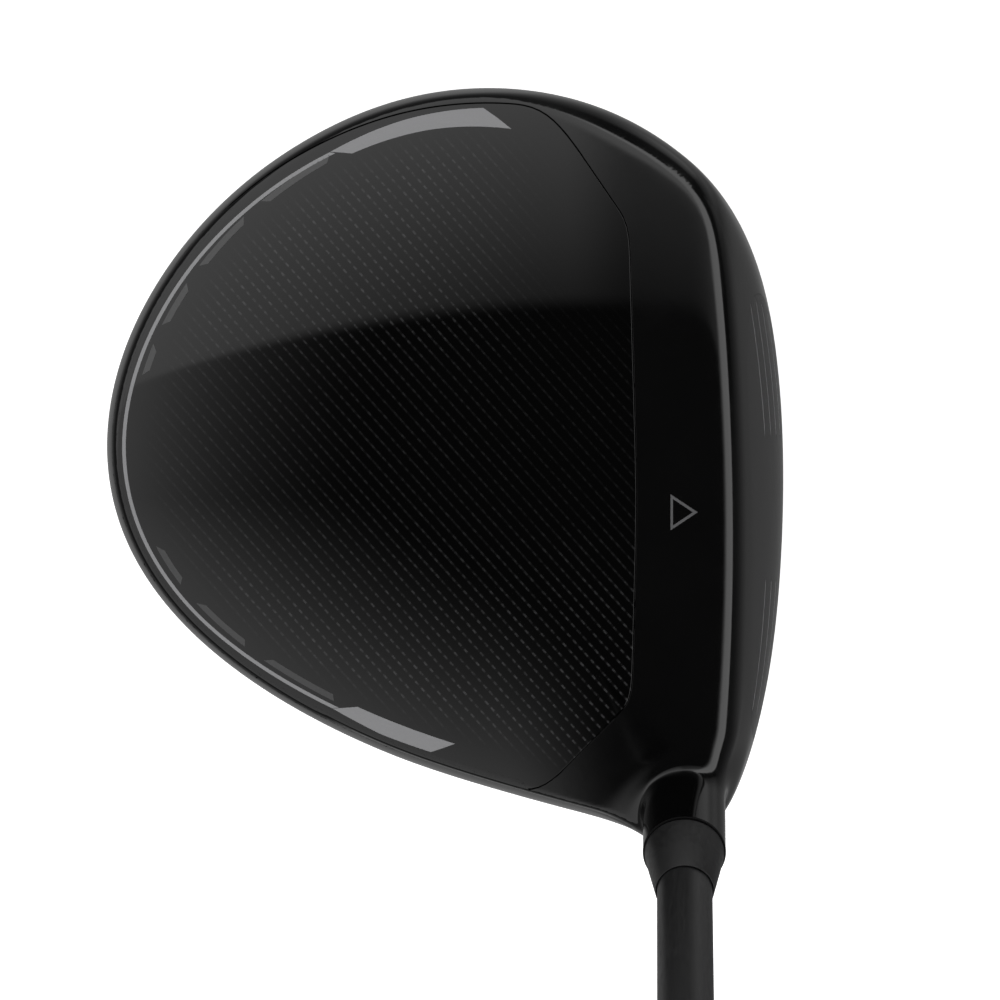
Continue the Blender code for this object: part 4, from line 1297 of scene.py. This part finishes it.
GRIP_ROWS = 420
GRIP_AROUND = 132
GRIP_ZONES = ((0.07, 0.34), (0.37, 0.64), (0.67, 0.93))  # as shares of the grip's length
GRIP_RINGS = (0.045, 0.055, 0.355, 0.655, 0.945, 0.955)
GRIP_LANES = 12  # diamonds round the grip
GRIP_PITCH = 0.0085


def grip_relief(angles, radius, height):
    """Diamond grooves in three zones, between plain rings."""
    if radius < GRIP_MOUTH_RADIUS - 0.0006:
        return 0 * angles
    place = (height - GRIP_START) / (GRIP_END - GRIP_START)
    relief = 0 * angles
    for low, high in GRIP_ZONES:
        inside = smooth_step(place, low, low + 0.012) * smooth_step(-place, -high, -high + 0.012)
        turns = angles / (2 * math.pi) * GRIP_LANES
        for way in (1, -1):
            lane = (turns + way * height / GRIP_PITCH) % 1.0
            groove = smooth_step(-np.abs(lane - 0.5), -0.13, -0.05)
            relief = np.minimum(relief, -0.00045 * groove * inside)
    for ring in GRIP_RINGS:
        relief = relief - 0.0004 * smooth_step(-abs(place - ring), -0.0032, -0.0014)
    return relief


def make_grip(finishes):
    hole = 0.0010
    lip = GRIP_START + 0.004
    shoulder = GRIP_END - 0.020
    heights = np.linspace(GRIP_END - 0.0004, lip, GRIP_ROWS)
    mouth, butt = GRIP_MOUTH_RADIUS, GRIP_BUTT_RADIUS
    stops = (GRIP_START + 0.0008, lip, shoulder, GRIP_END)
    sizes = (mouth - 0.0003, mouth + 0.0002, butt - 0.0008, butt)
    profile = [(butt - 0.0003, GRIP_END)]
    profile += [(float(np.interp(u, stops, sizes)), u) for u in heights]
    profile += [
        (mouth - 0.0004, GRIP_START + 0.0006),
        (mouth - 0.0009, GRIP_START),
        (shaft_radius(GRIP_START) + hole, GRIP_START),
        (shaft_radius(SHAFT_END) + hole, GRIP_END),
    ]
    shape = {"steps": GRIP_AROUND, "displace": grip_relief}
    finish = finishes["grip"]
    add_turned("grip_sleeve", profile, SHAFT, finish, "club", "grip_rubber", ["grip"], **shape)
    low = GRIP_END + GAP
    plug = BUTT_RADIUS - SHAFT_WALL - GAP
    vent = 0.0012
    cap = [
        (vent, CLUB_LENGTH - 0.0002),
        (0.0040, CLUB_LENGTH - 0.0002),
        (0.0046, CLUB_LENGTH - 0.0006),
        (0.0054, CLUB_LENGTH - 0.0006),
        (0.0060, CLUB_LENGTH - 0.0001),
        (butt - 0.0016, CLUB_LENGTH - 0.0003),
        (butt, CLUB_LENGTH - 0.0018),
        (butt, low),
        (plug, low),
        (plug, low - 0.010),
        (vent, low - 0.010),
    ]
    cap = filleted(cap, 0.0006, 5)
    add_turned("grip_end_cap", cap, SHAFT, finish, "club", "grip_rubber", ["grip_cap"])


def make_plug(finishes):
    profile = (
        (0, PLUG_DEPTH),
        (PLUG_RADIUS, PLUG_DEPTH),
        (PLUG_RADIUS, 0.0003),
        (0.0016, 0.00025),
        (0.0012, 0.0006),
        (0, 0.0006),
    )
    plug, place = filleted(profile, 0.0003), port_placement()
    finish = finishes["plug"]
    add_turned("port_stopper", plug, place, finish, "head", "plug_rubber", ["port_plug"])


def dress_nodes(finishes):
    """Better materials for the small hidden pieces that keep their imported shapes."""
    kept = {"screw_washer": "steel", "screw_retainer": "nylon", "grip_tape": "tape"}
    for node, finish in kept.items():
        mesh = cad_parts[node].data
        mesh.materials.clear()
        mesh.materials.append(finishes[finish])


# ---- studio ----


def make_floor():
    shape = bmesh.new()
    bmesh.ops.create_circle(shape, cap_ends=True, segments=96, radius=60.0)
    floor = loose_object("floor", mesh_of("floor", shape))
    floor.location.z = -0.0002
    made, shader, surface = new_material("pale_floor", (0.85, 0.85, 0.85), Emission_Strength=0.75)
    surface.inputs["Emission Color"].default_value = (1, 1, 1, 1)
    shader.feed(surface.inputs["Roughness"], shader.span(shader.noise(3.0), 0.3, 0.7, 0.85, 0.95))
    floor.data.materials.append(made)
    floor.visible_glossy = False


TOE_PANEL = (0.72, 0.82)  # where its straight edge starts and ends, as rise along Y over height
TOE_FADE = (0.785, 0.285, 0.2, 1.2)  # height from, to, and the light at each
REAR_TURN = 1.71  # the rear panel's edge runs aslant from the rear to the heel
REAR_PANEL = (0.7, 3.2, 0.0, 0.9)
REAR_START = (-0.1, 0.35)
FRONT_PANEL = (1.2, 2.2, 0.0, 1.9)
TOE_SHADE = (-0.08, 0.10)  # the toe panel is shaded toward the front
TOE_SHADE_Z = (0.30, 0.42, 0.0, 0.58)
CORNER = (0.05, 0.30)  # below the horizon it is dimmer past the front of the toe,
CORNER_SHARE = (0.0, 0.75)
CORNER_Z = (-0.45, -0.30)
FRONT_DIM = (0.10, 0.35)  # and in front of the face,
FRONT_DIM_Y = (0.25, 0.45, 0.5, 0.0)
STRIP = ((0.22, 0.38), (0.46, 0.60))  # with a lighter strip, which shaft and ferrule reflect
STRIP_Y = (0.50, 0.65, 0.0, 1.3)
CEILING_LIGHT = 0.03
HORIZON_LIGHT = 0.12
NADIR_LIGHT = 0.26


def make_world():
    """Three soft white panels under a dark ceiling: past the toe, round the rear and in front."""
    world = bpy.data.worlds.new("studio")
    world.use_nodes = True
    bpy.context.scene.world = world
    shader = Shader(world.node_tree)
    x, y, z = shader.split(shader.add("ShaderNodeTexCoord").outputs["Generated"])
    height = shader.math("MAXIMUM", z, 0.02)
    forwards = shader.math("DIVIDE", x, height)
    toewards = shader.math("DIVIDE", y, height)
    toe = shader.times(shader.span(toewards, *TOE_PANEL), shader.span(z, *TOE_FADE, kind="LINEAR"))
    shade = shader.times(shader.span(x, *TOE_SHADE), shader.span(z, *TOE_SHADE_Z))
    toe = shader.times(toe, shader.less(1.0, shade))
    backwards = shader.times(forwards, -1.0)
    heelwards = shader.math("MINIMUM", toewards, 0.0)
    aslant = shader.math("MULTIPLY_ADD", heelwards, -REAR_TURN, backwards)
    rear = shader.times(shader.span(aslant, *REAR_PANEL), shader.span(backwards, *REAR_START))
    front = shader.span(forwards, *FRONT_PANEL)
    panels = shader.math("MAXIMUM", shader.math("MAXIMUM", toe, rear), front)
    above = shader.span(z, -0.03, 0.03)
    light = shader.times(shader.math("ADD", panels, CEILING_LIGHT), above)
    under = shader.span(z, -0.2, -1.0, HORIZON_LIGHT, NADIR_LIGHT)
    corner = shader.times(shader.span(x, *CORNER), shader.span(y, *CORNER, *CORNER_SHARE))
    corner = shader.times(corner, shader.span(z, *CORNER_Z))
    dim = shader.times(shader.span(x, *FRONT_DIM), shader.span(y, *FRONT_DIM_Y))
    strip = shader.less(shader.span(x, *STRIP[0]), shader.span(x, *STRIP[1]))
    strip = shader.times(strip, shader.span(y, *STRIP_Y))
    for share in (shader.less(1.0, corner), shader.less(1.0, dim), shader.math("ADD", 1.0, strip)):
        under = shader.times(under, share)
    below = shader.times(shader.less(1.0, above), under)
    background = world.node_tree.nodes["Background"]
    shader.feed(background.inputs["Color"], (1, 1, 1, 1))
    shader.feed(background.inputs["Strength"], shader.math("ADD", light, below))


def make_sun():
    light = bpy.data.lights.new("key", "SUN")
    light.energy = 2.2
    light.angle = math.radians(60)
    lamp = bpy.data.objects.new("key", light)
    bpy.context.scene.collection.objects.link(lamp)
    lamp.rotation_euler = (math.radians(12), math.radians(-10), 0)
    lamp.visible_glossy = False


def make_camera():
    """Straight above the head, through a long lens."""
    distance, across, head_height = 6.0, 0.16609, 0.035
    camera = bpy.data.cameras.new("camera")
    camera.sensor_width = 36.0
    camera.lens = camera.sensor_width * distance / across
    camera.clip_end = 200.0
    viewer = bpy.data.objects.new("camera", camera)
    bpy.context.scene.collection.objects.link(viewer)
    viewer.location = (-0.0100, -0.00667, distance + head_height)
    bpy.context.scene.camera = viewer
    bpy.context.scene.view_settings.view_transform = "Standard"


def main():
    make_camera()
    make_world()
    make_sun()
    make_floor()
    finishes = make_materials()
    club = (make_head, make_crown, make_face, make_sole, make_graphics, make_weights, make_plug)
    for make in (*club, make_adapter, make_ferrule, make_shaft, make_grip, dress_nodes):
        make(finishes)


main()
